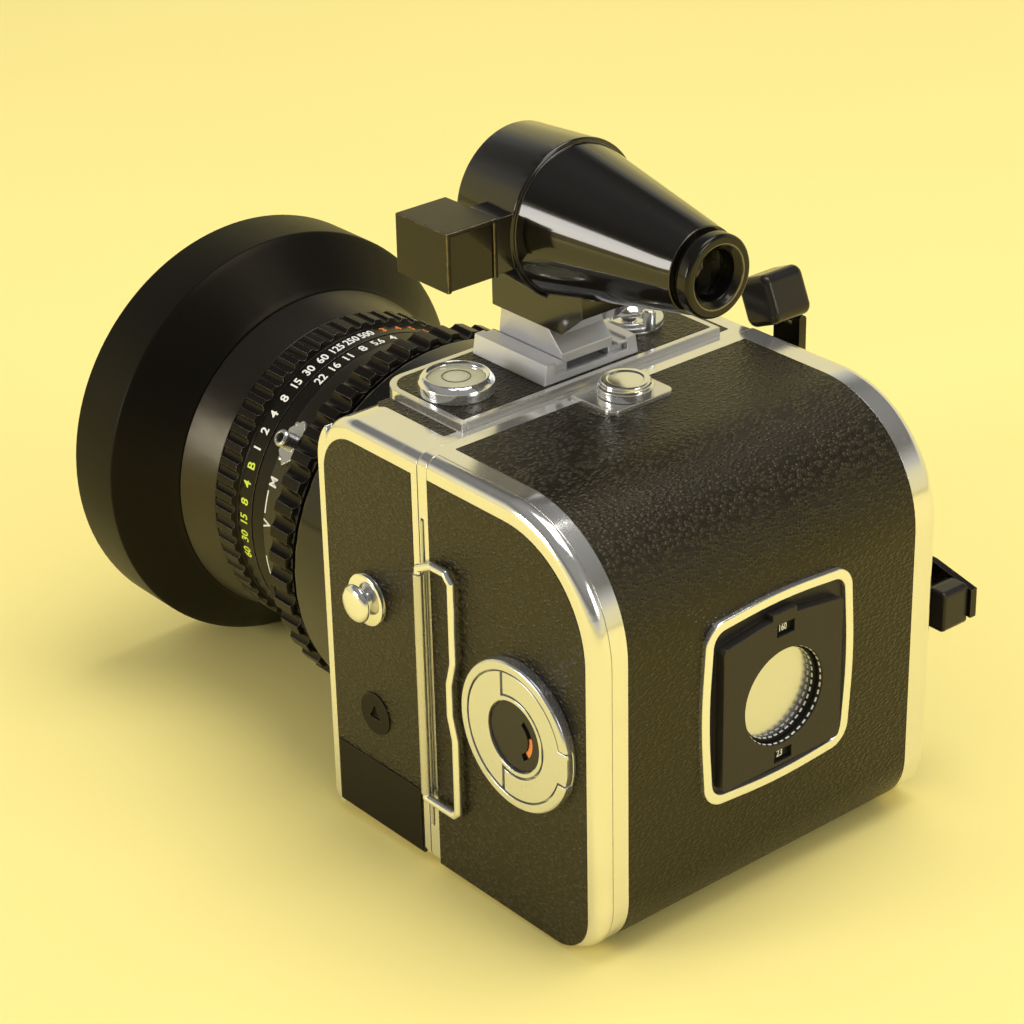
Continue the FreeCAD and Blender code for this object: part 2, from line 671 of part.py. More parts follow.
cocking_axis = (size.winding_y, size.winding_z - size.gear_module * size.winding_gear_teeth)
gear_start = -inner_side + 2.4
gear_width = 3.0
cocking_pin = rod("cocking_pin", "X", cocking_axis, 2.0, -inner_side - 0.5,
    gear_start + gear_width + 0.6)
body_cut = cut(
    "body_cut", body_blank, body_cavity, lens_hole, left_leather, right_leather, front_plate_blank,
    foot_blank, crank_hole, stem_hole, left_strip, right_strip,
)
body_shell = part(fuse("body_shell_join", body_cut, cocking_pin), "body_shell")

# Leather coverings of the body's sides
shaft_gap = rod("shaft_gap", "X", winding_axis, crank_shaft_radius + 0.4, -side - 1, -side + 1)
plate_y = (leather_outline[0][0] + 0.5, leather_outline[1][0] - 0.4)
plate_z = (size.side_leather_bottom + 0.3, size.side_leather_bottom + 0.3 + size.plate_height)
name_plate = part(block("name_plate_block", (side - 0.3, side + 0.35), plate_y, plate_z), "name_plate")
plug_axis = (size.plug_y, size.plug_z)
plug_seat = rod("plug_seat", "X", plug_axis, size.plug_radius, side - inset, side + 1)
leathers = fuse("side_leathers_group", left_leather, right_leather)
part(cut("side_leathers_cut", leathers, shaft_gap, name_plate, plug_seat), "body_side_leathers")

# Plug with a three-sided key hole, and the strap studs
plug_disc = rod("plug_disc", "X", plug_axis, size.plug_radius - 0.05, side - inset, side + 0.45)
key_side = 2.1
key_points = [
    (size.plug_y + key_side * round(math.cos(math.radians(angle)), 4),
     size.plug_z + key_side * round(math.sin(math.radians(angle)), 4))
    for angle in (90, 210, 330)
]
key_hole = sheet_piece("key_hole", "YZ_Plane", key_points, 2, side - 0.3)
part(cut("side_plug_cut", plug_disc, key_hole), "side_plug")


def stud_profile(outwards):
    """Half section of a strap stud, from its flange out to its domed head."""
    root = leather_side
    reach = root + size.stud_length
    points = (
        (0, root), (size.stud_flange_radius, root), (size.stud_flange_radius, root + 0.9),
        (2.6, root + 1.3), (2.3, reach - 2.6), (size.stud_head_radius, reach - 2.3),
        (size.stud_head_radius, reach - 1.0), (size.stud_head_radius - 0.9, reach - 0.25), (0, reach),
    )
    return [(radius, along * outwards) for radius, along in points]


stud_axis = (size.stud_y, size.stud_z)
left_stud = turned("left_stud", "X", stud_axis, stud_profile(1))
right_stud = turned("right_stud", "X", (size.right_stud_y, size.right_stud_z), stud_profile(-1))
part(fuse("stud_group", left_stud, right_stud), "strap_studs")

# Hooks that carry the magazine's lower edge
hook_y = (body_rear - 2, half_joint + 2.2)
hook_top = blade_low - 0.2
hook_z = (hook_top - size.hook_thickness, hook_top)
hook_half = size.hook_width / 2
hooks = [
    block("hook_%d" % index, (middle - hook_half, middle + hook_half), hook_y, hook_z)
    for index, middle in enumerate((-size.hook_spread, size.hook_spread))
]
hook_bar = block(
    "hook_bar", (-size.hook_bar_half, size.hook_bar_half), (body_rear - 2.6, body_rear - 0.2),
    (size.foot_plate_thickness + 0.4, hook_top))
part(fuse("hooks_join", hook_bar, *hooks), "magazine_hooks")

# Raised top plate, its covering and the covering strips beside it
top_points = rectangle(-size.top_plate_right, size.top_plate_left, -size.top_plate_front,
    -size.top_plate_rear)
top_blank = sheet_piece(
    "top_blank", "XY_Plane", top_points, 12 + size.top_plate_rise, body_top - 12,
    rounds=((top_points[0], size.top_plate_corner), (top_points[1], size.top_plate_corner)),
)
rim = size.top_rim
inlay_points = rectangle(
    -size.top_plate_right + rim, size.top_plate_left - rim, -size.top_plate_front + rim,
    -size.top_plate_rear - rim)
inlay_blank = sheet_piece(
    "inlay_blank", "XY_Plane", inlay_points, size.leather_thickness,
    covering_top - size.leather_thickness,
    rounds=((inlay_points[0], size.top_plate_corner - rim),
    (inlay_points[1], size.top_plate_corner - rim)),
)
part(cut("top_plate_cut", top_blank, body_blank, inlay_blank, stem_hole), "top_plate")
inlay = cut("inlay_cut", inlay_blank, stem_hole)
part(fuse("top_leathers_group", inlay, left_strip, right_strip), "top_leathers")

# Bubble level
level_axis = (size.level_x, size.level_y)
level_top = covering_top + size.level_rise
level_profile = (
    (0, covering_top), (size.level_radius, covering_top), (size.level_radius, level_top - 1.2),
    (size.level_radius - 0.8, level_top - 0.2), (size.level_radius - 1.3, level_top),
    (size.level_glass_radius, level_top - 0.5), (size.level_glass_radius, covering_top + 0.8),
    (0, covering_top + 0.8),
)
part(turned("level_turned", "Z", level_axis, level_profile), "level_housing")
glass = size.level_glass_radius - 0.03
vial_profile = (
    (0, covering_top + 0.8), (glass, covering_top + 0.8), (glass, level_top - 0.9),
    (glass - 2.4, level_top - 0.6),
    (0, level_top - 0.5),
)
part(turned("vial_turned", "Z", level_axis, vial_profile), "level_vial")

# Accessory shoe
shoe_half = size.shoe_width / 2
shoe_z = covering_top
shoe_top = shoe_z + size.shoe_rise
channel_z = shoe_z + size.shoe_floor
channel_half = size.shoe_channel_width / 2
mouth_half = size.shoe_mouth_width / 2
step_half = mouth_half + 2.4
shoe_points = (
    (size.shoe_x - shoe_half, shoe_z), (size.shoe_x + shoe_half, shoe_z),
    (size.shoe_x + shoe_half - size.shoe_draft, shoe_top), (size.shoe_x + step_half, shoe_top),
    (size.shoe_x + step_half, shoe_top - size.shoe_step),
    (size.shoe_x - step_half, shoe_top - size.shoe_step),
    (size.shoe_x - step_half, shoe_top), (size.shoe_x - shoe_half + size.shoe_draft, shoe_top),
)
shoe_blank = sheet_piece(
    "shoe_blank", "XZ_Plane", shoe_points, size.shoe_front - size.shoe_rear, -size.shoe_front)
channel_x = (size.shoe_x - channel_half, size.shoe_x + channel_half)
channel_y = (-size.shoe_front - 1, -size.shoe_rear + 1)
stop_top = channel_z + size.shoe_stop_height
channel = block("channel", channel_x, channel_y, (stop_top, channel_z + size.shoe_channel_height))
channel_floor = block(
    "channel_floor", channel_x, (-size.shoe_front - 1, -size.shoe_rear - size.shoe_stop),
    (channel_z, stop_top + 0.1))
mouth = block(
    "mouth", (size.shoe_x - mouth_half, size.shoe_x + mouth_half), channel_y, (stop_top, shoe_top + 1))
part(cut("shoe_cut", shoe_blank, channel, channel_floor, mouth), "accessory_shoe")

# Shutter release with its collar and lock ring
collar_top = covering_top + size.collar_rise
collar_inner = size.release_radius + 0.25
collar_outer = collar_inner + size.collar_wall
collar_profile = (
    (release_stem_radius + gap, covering_top), (size.collar_radius, covering_top),
    (size.collar_radius, covering_top + 0.5), (collar_outer, covering_top + 0.5),
    (collar_outer, collar_top), (collar_inner, collar_top), (collar_inner, covering_top + 0.4),
    (release_stem_radius + gap, covering_top + 0.4),
)
part(turned("collar_turned", "Z", release_axis, collar_profile), "release_collar")
button_bottom = covering_top + 0.4 + size.release_travel + 0.2
button_top = collar_top + size.release_rise
thread_radius = 1.4
button_profile = (
    (0, body_top - 4), (release_stem_radius, body_top - 4), (release_stem_radius, button_bottom),
    (size.release_radius, button_bottom), (size.release_radius, button_top - 1.6),
    (size.release_radius - 1.4, button_top - 0.4), (thread_radius, button_top),
    (thread_radius, button_top - 2.2), (0, button_top - 2.2),
)
part(turned("button_turned", "Z", release_axis, button_profile), "shutter_release")
lock_bottom = covering_top + 0.55
lock_ring = ring(
    "lock_ring", "Z", release_axis, size.collar_radius, collar_outer + gap, lock_bottom,
    lock_bottom + size.lock_ring_height)
lock_pin_top = lock_bottom + size.lock_pin_height
lock_pin = turned(
    "lock_pin", "Z", (size.release_x + 0.3, size.release_y + size.lock_pin_reach),
    ((0, lock_bottom), (size.lock_pin_radius, lock_bottom), (size.lock_pin_radius, lock_pin_top - 0.3),
     (size.lock_pin_radius - 0.3, lock_pin_top), (0, lock_pin_top)))
part(fuse("lock_join", lock_ring, lock_pin), "release_lock_lever")

# Fixed lens mount: the smooth flange and the tube that guides the lens unit
tube_outer = size.tube_radius
tube_inner = tube_outer - size.tube_wall
guide_inner = tube_outer + gap
guide_outer = guide_inner + 1.2
flange_profile = (
    (30.2, front), (size.flange_radius, front), (size.flange_radius, -size.flange_front + 1.2),
    (size.flange_radius - 1.2, -size.flange_front), (guide_outer, -size.flange_front),
    (guide_outer, front - 4), (30.2, front - 4),
)
part(turned("flange_turned", "Y", lens_axis, flange_profile), "lens_flange")
part(
    ring("guide_turned", "Y", lens_axis, guide_outer, guide_inner, -size.focus_front + 0.6, front - 4),
    "helicoid_tube")

# Focusing ring
focus_root = size.focus_radius - 1.5
focus_profile = (
    (guide_outer + gap, -size.focus_rear), (focus_root, -size.focus_rear),
    (size.focus_radius, -size.focus_rear - 0.7), (size.focus_radius, -size.focus_front + 0.7),
    (focus_root, -size.focus_front), (guide_outer + gap, -size.focus_front),
)
focus_body = turned("focus_turned", "Y", lens_axis, focus_profile)
focus_pitch = 2 * math.pi * size.focus_radius / size.focus_teeth
part(
    grooved(focus_body, size.focus_radius + focus_pitch * 0.08, focus_pitch * 0.31, size.focus_teeth,
            -size.focus_front - 1, -size.focus_rear + 1),
    "focus_ring")

# Sliding lens unit: shutter housing, front barrel, lenses and blades
journal = tube_outer - 2.0
journal_front = -size.speed_front - 0.2
housing_profile = (
    (journal - 2.2, journal_front), (journal, journal_front), (journal, -size.aperture_rear + 0.1),
    (tube_outer, -size.aperture_rear + 0.1), (tube_outer, front - 6.5), (tube_inner, front - 6.5),
    (tube_inner, -size.aperture_rear + 3), (journal - 2.2, -size.aperture_rear + 3),
)
part(turned("housing_turned", "Y", lens_axis, housing_profile), "shutter_housing")
seat = size.shade_seat_radius
barrel_profile = (
    (size.front_glass_radius, journal_front), (size.barrel_rear_radius, journal_front),
    (size.barrel_front_radius, -size.barrel_front), (seat, -size.barrel_front),
    (seat, -size.barrel_front - 5.6), (seat - 1.2, -size.barrel_front - 6.2),
    (size.front_glass_radius + 3.4, -size.barrel_front - 6.2),
    (size.front_glass_radius, -size.barrel_front - 2.0),
)
part(turned("barrel_turned", "Y", lens_axis, barrel_profile), "front_barrel")
front_glass = turned("front_glass", "Y", lens_axis, (
    (0, -size.barrel_front - 7.2), (size.front_glass_radius * 0.5, -size.barrel_front - 6.2),
    (size.front_glass_radius * 0.85, -size.barrel_front - 3.6),
    (size.front_glass_radius, -size.barrel_front - 1.6),
    (size.front_glass_radius, -size.barrel_front + 6),
    (size.front_glass_radius * 0.6, -size.barrel_front + 3.4),
    (0, -size.barrel_front + 1.5),
))
middle_glass = turned("middle_glass", "Y", lens_axis, (
    (0, -size.speed_rear - 7), (18, -size.speed_rear - 4.5), (journal - 2.2, -size.speed_rear - 4),
    (journal - 2.2, -size.speed_rear - 1), (0, -size.speed_rear - 1),
))
rear_cell = ring("rear_cell", "Y", lens_axis, tube_inner, size.rear_glass_radius, front - 9,
    front - 6.6)
rear_glass = turned("rear_glass", "Y", lens_axis, (
    (0, front - 14), (size.rear_glass_radius, front - 12), (size.rear_glass_radius, front - 2),
    (0, front + 4),
))
part(fuse("elements_group", front_glass, middle_glass, rear_glass), "lens_elements")
blade_profile = (
    (7, -size.aperture_rear + 3.1), (tube_inner, -size.aperture_rear + 3.1),
    (tube_inner, -size.aperture_rear + 3.7), (7, -size.aperture_rear + 3.7),
)
blades = turned("blades", "Y", lens_axis, blade_profile)
part(fuse("blades_group", blades, rear_cell), "shutter_blades")

# Flash socket on its small plate
socket_y = -size.aperture_rear + 2.6
socket_radius = 1.9
socket_ring = turned("socket_ring", "Y", (0, 0), (
    (1.1, tube_outer - 0.6), (socket_radius, tube_outer - 0.6), (socket_radius, tube_outer + 3.6),
    (socket_radius - 0.4, tube_outer + 4.0), (1.1, tube_outer + 4.0),
))
socket_base = sheet_piece(
    "socket_base", "XZ_Plane",
    ((-5.2, -0.5), (-3.2, -2.6), (0, -1.6), (3.2, -2.6), (5.2, -0.5), (2.6, 2.4), (-2.6, 2.4)), 0.9,
    tube_outer - 0.35)
socket_pair = fuse("socket_pair", cut("socket_base_cut", socket_base, rod(
    "socket_bore", "Y", (0, 0), 1.1, tube_outer - 2, tube_outer + 2)), socket_ring)
socket_lean = math.degrees(math.atan2(0.82, 0.574))
socket_pair.Placement.Rotation = FreeCAD.Rotation(V(0, 1, 0), socket_lean).multiply(
    FreeCAD.Rotation(V(1, 0, 0), 90))
place(socket_pair, 0, socket_y, axis_z)
sleeve_blank = rod("sleeve_blank", "Y", lens_axis, tube_outer, -size.aperture_rear - 3,
    -size.focus_front + 2)
part(cut("sync_socket_cut", socket_pair, sleeve_blank), "sync_socket")

# Speed ring, aperture ring and the sync and self-timer lever, which turn on the lens unit
speed_root = size.speed_radius - 1.1
speed_inner = journal + gap
speed_profile = (
    (speed_inner, -size.speed_rear), (tube_outer, -size.speed_rear), (tube_outer, -size.speed_band),
    (speed_root, -size.speed_band - 0.2), (size.speed_radius, -size.speed_band - 0.8),
    (size.speed_radius, -size.speed_front + 0.7), (speed_root, -size.speed_front),
    (speed_inner, -size.speed_front),
)
speed_body = turned("speed_turned", "Y", lens_axis, speed_profile)
speed_pitch = 2 * math.pi * size.speed_radius / size.speed_teeth
part(
    grooved(speed_body, size.speed_radius + speed_pitch * 0.14, speed_pitch * 0.33, size.speed_teeth,
            -size.speed_front - 1, -size.speed_band - 0.1),
    "speed_ring")
part(
    ring("aperture_turned", "Y", lens_axis, tube_outer - 0.1, speed_inner, -size.aperture_front,
    -size.aperture_rear),
    "aperture_ring")
lever_y = (-size.focus_front - 3.2, -size.focus_front - 1.4)
lever_ring = ring("lever_ring", "Y", lens_axis, tube_outer + 0.8, tube_outer + gap, *lever_y)
lever_tab = block("lever_tab", (tube_outer - 2, tube_outer + 4.2), lever_y,
    (axis_z - 9.5, axis_z - 5.8))
lever_bore = rod("lever_bore", "Y", lens_axis, tube_outer + gap, -size.aperture_rear, -size.focus_front)
part(fuse("lever_join", lever_ring, cut("lever_tab_cut", lever_tab, lever_bore)), "sync_lever")

# Lens shade
shade_inner = size.shade_radius - size.shade_wall
shade_root = -size.barrel_front - 0.3
shade_profile = (
    (seat + gap, shade_root), (size.barrel_front_radius, shade_root),
    (size.barrel_front_radius + 1.0, shade_root - 1.6),
    (size.shade_radius - 1.2, -size.shade_rim_rear + 1.0),
    (size.shade_radius, -size.shade_rim_rear - 0.4), (size.shade_radius, -size.shade_rim_front + 0.5),
    (size.shade_radius - 0.5, -size.shade_rim_front), (shade_inner, -size.shade_rim_front),
    (shade_inner, -size.shade_rim_rear - 1.4), (seat + 3.6, shade_root - 5.2),
    (seat + gap, shade_root - 5.2),
)
part(turned("shade_turned", "Y", lens_axis, shade_profile), "lens_shade")

# Finder: hood and cone with the block below, hollow from end to end
finder_axis = (size.finder_x, size.finder_z)
wall = size.finder_wall
finder_outer = turned("finder_outer", "Y", finder_axis, (
    (0, size.hood_front), (size.hood_front_radius - 0.5, size.hood_front),
    (size.hood_front_radius, size.hood_front + 0.5),
    (size.hood_radius, size.hood_rear - 0.3), (size.hood_radius - 0.3, size.hood_rear),
    (size.cone_radius, size.hood_rear), (size.cone_end_radius, size.cone_rear), (0, size.cone_rear),
))
hood_slope = (size.hood_radius - size.hood_front_radius) / (size.hood_rear - size.hood_front)
finder_hollow = turned("finder_hollow", "Y", finder_axis, (
    (0, size.hood_front - 1), (size.hood_front_radius - wall - hood_slope, size.hood_front - 1),
    (size.hood_radius - wall - hood_slope, size.hood_rear - 1),
    (size.cone_radius - wall, size.hood_rear),
    (size.cone_end_radius - wall, size.cone_rear - 4), (5.6, size.cone_rear - 4),
    (5.6, size.cone_rear + 1),
    (0, size.cone_rear + 1),
))
block_half = size.finder_block_width / 2
under_block = sheet_piece(
    "under_block", "YZ_Plane",
    ((size.hood_front + 1.5, size.finder_block_bottom), (size.hood_rear + 4, size.finder_block_bottom),
     (size.hood_rear + 10, size.finder_block_bottom + 5), (size.hood_rear + 10, size.finder_z - 5),
     (size.hood_front + 1.5, size.finder_z - 5)),
    size.finder_block_width, size.finder_x - block_half,
)
neck_y = (size.prism_box_front + 6.6, size.prism_box_front + size.prism_box_depth - 0.4)
neck = block(
    "neck", (size.finder_x + 4, size.prism_box_outer - size.prism_box_length),
    neck_y, (size.prism_box_bottom + 0.4, size.prism_box_bottom + size.prism_box_height - 0.4))
part(cut("finder_cut", fuse("finder_join", finder_outer, under_block, neck), finder_hollow),
    "finder_housing")

rail_half = size.foot_rail_width / 2
foot_x = (size.finder_x - size.foot_width / 2, size.finder_x + size.foot_width / 2)
rail_z = channel_z + 0.1
rail = block(
    "rail", (size.finder_x - rail_half, size.finder_x + rail_half),
    (-size.shoe_front + 0.6, -size.shoe_rear - size.shoe_stop - 0.05),
    (rail_z, rail_z + size.foot_rail_height))
foot_rear = -size.shoe_rear - size.shoe_stop - 0.05
wedge = sheet_piece(
    "wedge", "YZ_Plane",
    ((-size.shoe_front + 1.2, rail_z), (foot_rear, rail_z), (foot_rear, shoe_top + 0.6),
     (foot_rear - size.foot_slope, size.finder_block_bottom),
     (-size.shoe_front + 2.4, size.finder_block_bottom)),
    size.foot_width, foot_x[0])
relief_half = size.foot_width / 2 - size.foot_web
foot_relief = block(
    "foot_relief", (size.finder_x - relief_half, size.finder_x + relief_half),
    (-size.shoe_front, foot_rear + 1),
    (rail_z - 1, rail_z + size.foot_rail_height - 0.2))
part(cut("foot_cut", fuse("foot_join", rail, wedge), foot_relief), "finder_foot")

glass_rim = size.hood_front_radius - wall + hood_slope * 3.6
part(fuse(
    "finder_glass_group",
    turned("finder_front_glass", "Y", finder_axis, (
        (0, size.hood_front + 4.4), (glass_rim - 2, size.hood_front + 3.8),
        (glass_rim, size.hood_front + 3.6), (glass_rim + hood_slope * 2.8, size.hood_front + 6.4),
        (0, size.hood_front + 6.4))),
    turned("finder_rear_glass", "Y", finder_axis, (
        (0, size.cone_rear - 3.6), (5.6, size.cone_rear - 3.6), (5.6, size.cone_rear - 1.2),
        (0, size.cone_rear - 0.6))),
), "finder_lenses")
groove_radius = size.cone_end_radius - 1.3
part(turned("eyepiece_turned", "Y", finder_axis, (
    (size.eyepiece_hole, size.cone_rear), (groove_radius, size.cone_rear),
    (groove_radius, size.cone_rear + 1.3),
    (size.eyepiece_radius, size.cone_rear + 1.6), (size.eyepiece_radius, size.eyepiece_rear - 0.5),
    (size.eyepiece_radius - 0.5, size.eyepiece_rear), (size.eyepiece_hole + 1.6, size.eyepiece_rear),
    (size.eyepiece_hole, size.eyepiece_rear - 1.2),
)), "eyepiece_ring")

# Mirror box beside the finder, which shows the bubble level, with its glass
box_x = (size.prism_box_outer - size.prism_box_length, size.prism_box_outer)
box_y = (size.prism_box_front, size.prism_box_front + size.prism_box_depth)
box_z = (size.prism_box_bottom, size.prism_box_bottom + size.prism_box_height)
mirror_blank = block("mirror_blank", box_x, box_y, box_z)
shell = 1.0
mirror_room = block(
    "mirror_room", (box_x[0] + shell, box_x[1] - shell), (box_y[0] + shell, box_y[1] + 1),
    (box_z[0] - 1, box_z[1] - shell))
part(cut("mirror_cut", mirror_blank, mirror_room), "mirror_box")
prism_points = (
    (box_y[1] - 0.5, box_z[0] + 0.2), (box_y[1] - 0.5, box_z[1] - shell),
    (box_y[0] + shell, box_z[1] - shell),
    (box_y[0] + shell, box_z[1] - shell - 1.5), (box_y[1] - 9.5, box_z[0] + 0.2),
)
part(
    sheet_piece("prism_pad", "YZ_Plane", prism_points, size.prism_box_length - 2 * shell,
    box_x[0] + shell),
    "level_prism")

# Magazine casing
back = size.magazine_depth
mag_top = size.magazine_top
wall_m = size.magazine_wall
mag_points = rectangle(half_joint, back, 0, mag_top)
mag_rounds = ((mag_points[2], size.magazine_top_round), (mag_points[1], size.magazine_foot_round))
mag_blank = sheet_piece(
    "mag_blank", "YZ_Plane", mag_points, size.body_width, -side, rounds=mag_rounds,
    soft=(size.magazine_edge_round, on_outline(0, size.body_width.value, half_joint.value)))
room_points = rectangle(size.magazine_front_wall + half_joint, back - wall_m, wall_m, mag_top - wall_m)
mag_room = sheet_piece(
    "mag_room", "YZ_Plane", room_points, size.body_width, -side + wall_m,
    rounds=((room_points[2], size.magazine_top_round - wall_m),
    (room_points[1], size.magazine_foot_round - wall_m)))
cover_seam = 0.12
cover_low = side - size.cover_thickness
cover_room = block(
    "cover_room", (cover_low - cover_seam, side + 1), (size.cover_front - cover_seam, back + 1),
    (-1, mag_top + 1))
gate_half = size.aperture_width / 2
gate_y = (half_joint + size.magazine_front_wall,
    half_joint + size.magazine_front_wall + size.gate_depth)
gate_hole = block(
    "gate_hole", (-gate_half, gate_half), (-1, gate_y[1] + 1), (axis_z - gate_half, axis_z + gate_half))
slot_half = size.blade_thickness / 2 + 0.15
blade_slot = block(
    "blade_slot", (-size.blade_reach - 0.6, side + 1),
    (size.blade_y - slot_half, size.blade_y + slot_half),
    (blade_low - 0.3, blade_high + 0.3))
hook_room = block(
    "hook_room", (-size.hook_bar_half - 3, size.hook_bar_half + 3), (-1, half_joint + 4.6),
    (hook_z[0] - 2.6, hook_z[1] + 3.2))
mag_crank_axis = (size.spool_y, size.magazine_crank_z)
mag_shaft_radius = 2.5
mag_crank_hole = rod(
    "mag_crank_hole", "X", mag_crank_axis, mag_shaft_radius + gap, -side - 1, -side + wall_m + 1)
right_cover_leather = sheet_piece(
    "right_cover_leather", "YZ_Plane",
    rectangle(size.cover_front, size.cover_leather_rear, size.cover_leather_bottom,
    size.cover_leather_top),
    size.leather_thickness, -leather_side,
    rounds=(((size.cover_leather_rear, size.cover_leather_top), size.cover_leather_round_top),
            ((size.cover_leather_rear, size.cover_leather_bottom), size.cover_leather_round_foot)))

# Covering that wraps over the magazine's top, back and bottom
proud = size.leather_proud
wrap_width = 2 * size.wrap_half_width
wrap_points = rectangle(size.wrap_front, back + proud, -0.0, mag_top + proud)
wrap_outer = sheet_piece(
    "wrap_outer", "YZ_Plane", wrap_points, wrap_width, -size.wrap_half_width,
    rounds=((wrap_points[2], size.magazine_top_round + proud),
    (wrap_points[1], size.magazine_foot_round + proud)))
core_points = rectangle(0, back - inset, inset, mag_top - inset)
wrap_core = sheet_piece(
    "wrap_core", "YZ_Plane", core_points, wrap_width + 2, -size.wrap_half_width - 1,
    rounds=((core_points[2], size.magazine_top_round - inset),
    (core_points[1], size.magazine_foot_round - inset)))
window_half = size.window_width / 2
window_z = (size.window_z - size.window_height / 2, size.window_z + size.window_height / 2)
window_points = bowed(window_half, window_z[0], window_z[1], size.window_bow)
window_blank = sheet_piece(
    "window_blank", "XZ_Plane", window_points, inset + size.window_rise, back - inset,
    rounds=bowed_rounds(window_points, size.window_corner, size.window_bow_radius))
tongue_x = (size.tongue_x - size.tongue_width / 2, size.tongue_x + size.tongue_width / 2)
tongue_points = rectangle(tongue_x[0], tongue_x[1], size.tongue_front, size.tongue_rear)
tongue_blank = sheet_piece(
    "tongue_blank", "XY_Plane", tongue_points, inset + size.tongue_rise, mag_top - inset,
    rounds=((tongue_points[2], 2.0), (tongue_points[3], 2.0)))
wrap_sheet = cut("wrap_sheet", wrap_outer, wrap_core)
wrap_cut = cut("wrap_cut", wrap_sheet, window_blank, tongue_blank)
mag_shaft_gap = rod("mag_shaft_gap", "X", mag_crank_axis, mag_shaft_radius + 0.4, -side - 1, -side + 1)
right_cover_cut = cut("right_cover_cut", right_cover_leather, mag_shaft_gap)
part(fuse("mag_leathers_group", wrap_cut, right_cover_cut), "magazine_leathers")
catch_slot = block(
    "catch_slot", (size.tongue_x - size.catch_travel - 2.2, size.tongue_x + 2.2),
    (size.catch_button_y - 2.2, size.catch_button_y + 2.2), (mag_top - wall_m - 1, mag_top + 3))
mag_shell = cut(
    "mag_shell_cut", mag_blank, mag_room, cover_room, gate_hole, blade_slot, hook_room, mag_crank_hole,
    right_cover_leather, wrap_sheet, catch_slot, tongue_blank)
part(mag_shell, "magazine_shell")

# Release tongue and its sliding button
part(cut("catch_plate_cut", tongue_blank, catch_slot), "catch_plate")
tongue_top = mag_top + size.tongue_rise
button_low = tongue_top + 0.1
button_high = button_low + size.catch_button_rise
catch_axis = (size.tongue_x, size.catch_button_y)
catch_radius = size.catch_button_radius
part(turned("catch_turned", "Z", catch_axis, (
    (0, mag_top - 2), (2.0, mag_top - 2), (2.0, button_low), (catch_radius, button_low),
    (catch_radius, button_high - 1.3), (catch_radius - 0.6, button_high - 1.0),
    (catch_radius - 0.6, button_high - 0.3),
    (catch_radius - 0.9, button_high), (catch_radius - 1.9, button_high),
    (catch_radius - 2.1, button_high - 0.25),
    (0, button_high - 0.25),
)), "magazine_release")

# Back window: frame, memo plate and dial
rim_w = size.window_rim
room_points = bowed(window_half - rim_w, window_z[0] + rim_w, window_z[1] - rim_w, size.window_bow)
room_rounds = bowed_rounds(room_points, size.window_corner - rim_w, size.window_bow_radius)
frame_room = sheet_piece("frame_room", "XZ_Plane", room_points, 6, back - 3, rounds=room_rounds)
part(cut("window_cut", window_blank, frame_room), "window_frame")
memo_floor = back - inset
memo_base = sheet_piece("memo_base", "XZ_Plane", room_points, size.memo_base, memo_floor,
    rounds=room_rounds)
block_low = size.memo_x - size.memo_width / 2
block_high = size.memo_x + size.memo_width / 2
block_points = (
    (block_low, size.memo_bottom), (block_high, size.memo_bottom), (block_high, size.memo_top),
    (size.memo_x, size.memo_top + size.memo_crown), (block_low, size.memo_top),
)
block_rounds = [(point, 1.0) for index, point in enumerate(block_points) if index != 3]
block_rounds.append((block_points[3], 40))
memo_block = sheet_piece(
    "memo_block", "XZ_Plane", block_points, inset + size.memo_rise, memo_floor, rounds=block_rounds)
crown_top = size.memo_top + size.memo_crown
memo_tab = block(
    "memo_tab", (size.memo_x - size.memo_tab, size.memo_x + size.memo_tab),
    (memo_floor, back + size.memo_rise), (size.memo_top - 1, crown_top + 0.7))
dial_axis = (size.dial_x, size.dial_z)
dial_well = rod("dial_well", "Y", dial_axis, size.dial_well_radius, memo_floor - 1, back + 4)
sight_holes = [
    block("sight_%d" % index, (size.dial_x - 2.3, size.dial_x + 2.3), (memo_floor + 0.4, back + 4),
          (size.dial_z + low, size.dial_z + low + 2.6))
    for index, low in enumerate((13.5, -14.2))
]
part(cut("memo_cut", fuse("memo_join", memo_base, memo_block, memo_tab), dial_well, *sight_holes), "memo_plate")
dial_radius = size.dial_well_radius - 0.15
dial_rim = turned("dial_turned", "Y", dial_axis, (
    (0, memo_floor), (dial_radius, memo_floor), (dial_radius, memo_floor + size.dial_ring),
    (dial_radius - size.dial_wall, memo_floor + size.dial_ring),
    (dial_radius - size.dial_wall, memo_floor + 0.5),
    (0, memo_floor + 0.5),
))
part(dial_rim, "memo_dial")

# Film gate inside the magazine, with the pressure plate on its four stand-offs
gate_outer = gate_half + size.gate_rim
gate_blank = block("gate_blank", (-gate_outer, gate_outer), gate_y,
    (axis_z - gate_outer, axis_z + gate_outer))
pressure_y = (gate_y[1] + size.pressure_gap, gate_y[1] + size.pressure_gap + size.pressure_sheet)
pressure_wide = gate_outer - 0.4
pressure_tall = gate_half + size.pressure_rim
stand_offs = [
    rod("stand_off_%d" % index, "Y",
    (across * (pressure_wide - 1.2), axis_z + up * (pressure_tall - 2.5)), 0.9,
        gate_y[1] - 0.5, pressure_y[0])
    for index, (across, up) in enumerate(((-1, -1), (-1, 1), (1, -1), (1, 1)))
]
part(fuse("gate_join", cut("film_gate_cut", gate_blank, gate_hole), *stand_offs), "film_gate")
part(
    block("pressure_block", (-pressure_wide, pressure_wide), pressure_y,
    (axis_z - pressure_tall, axis_z + pressure_tall)),
    "pressure_plate")

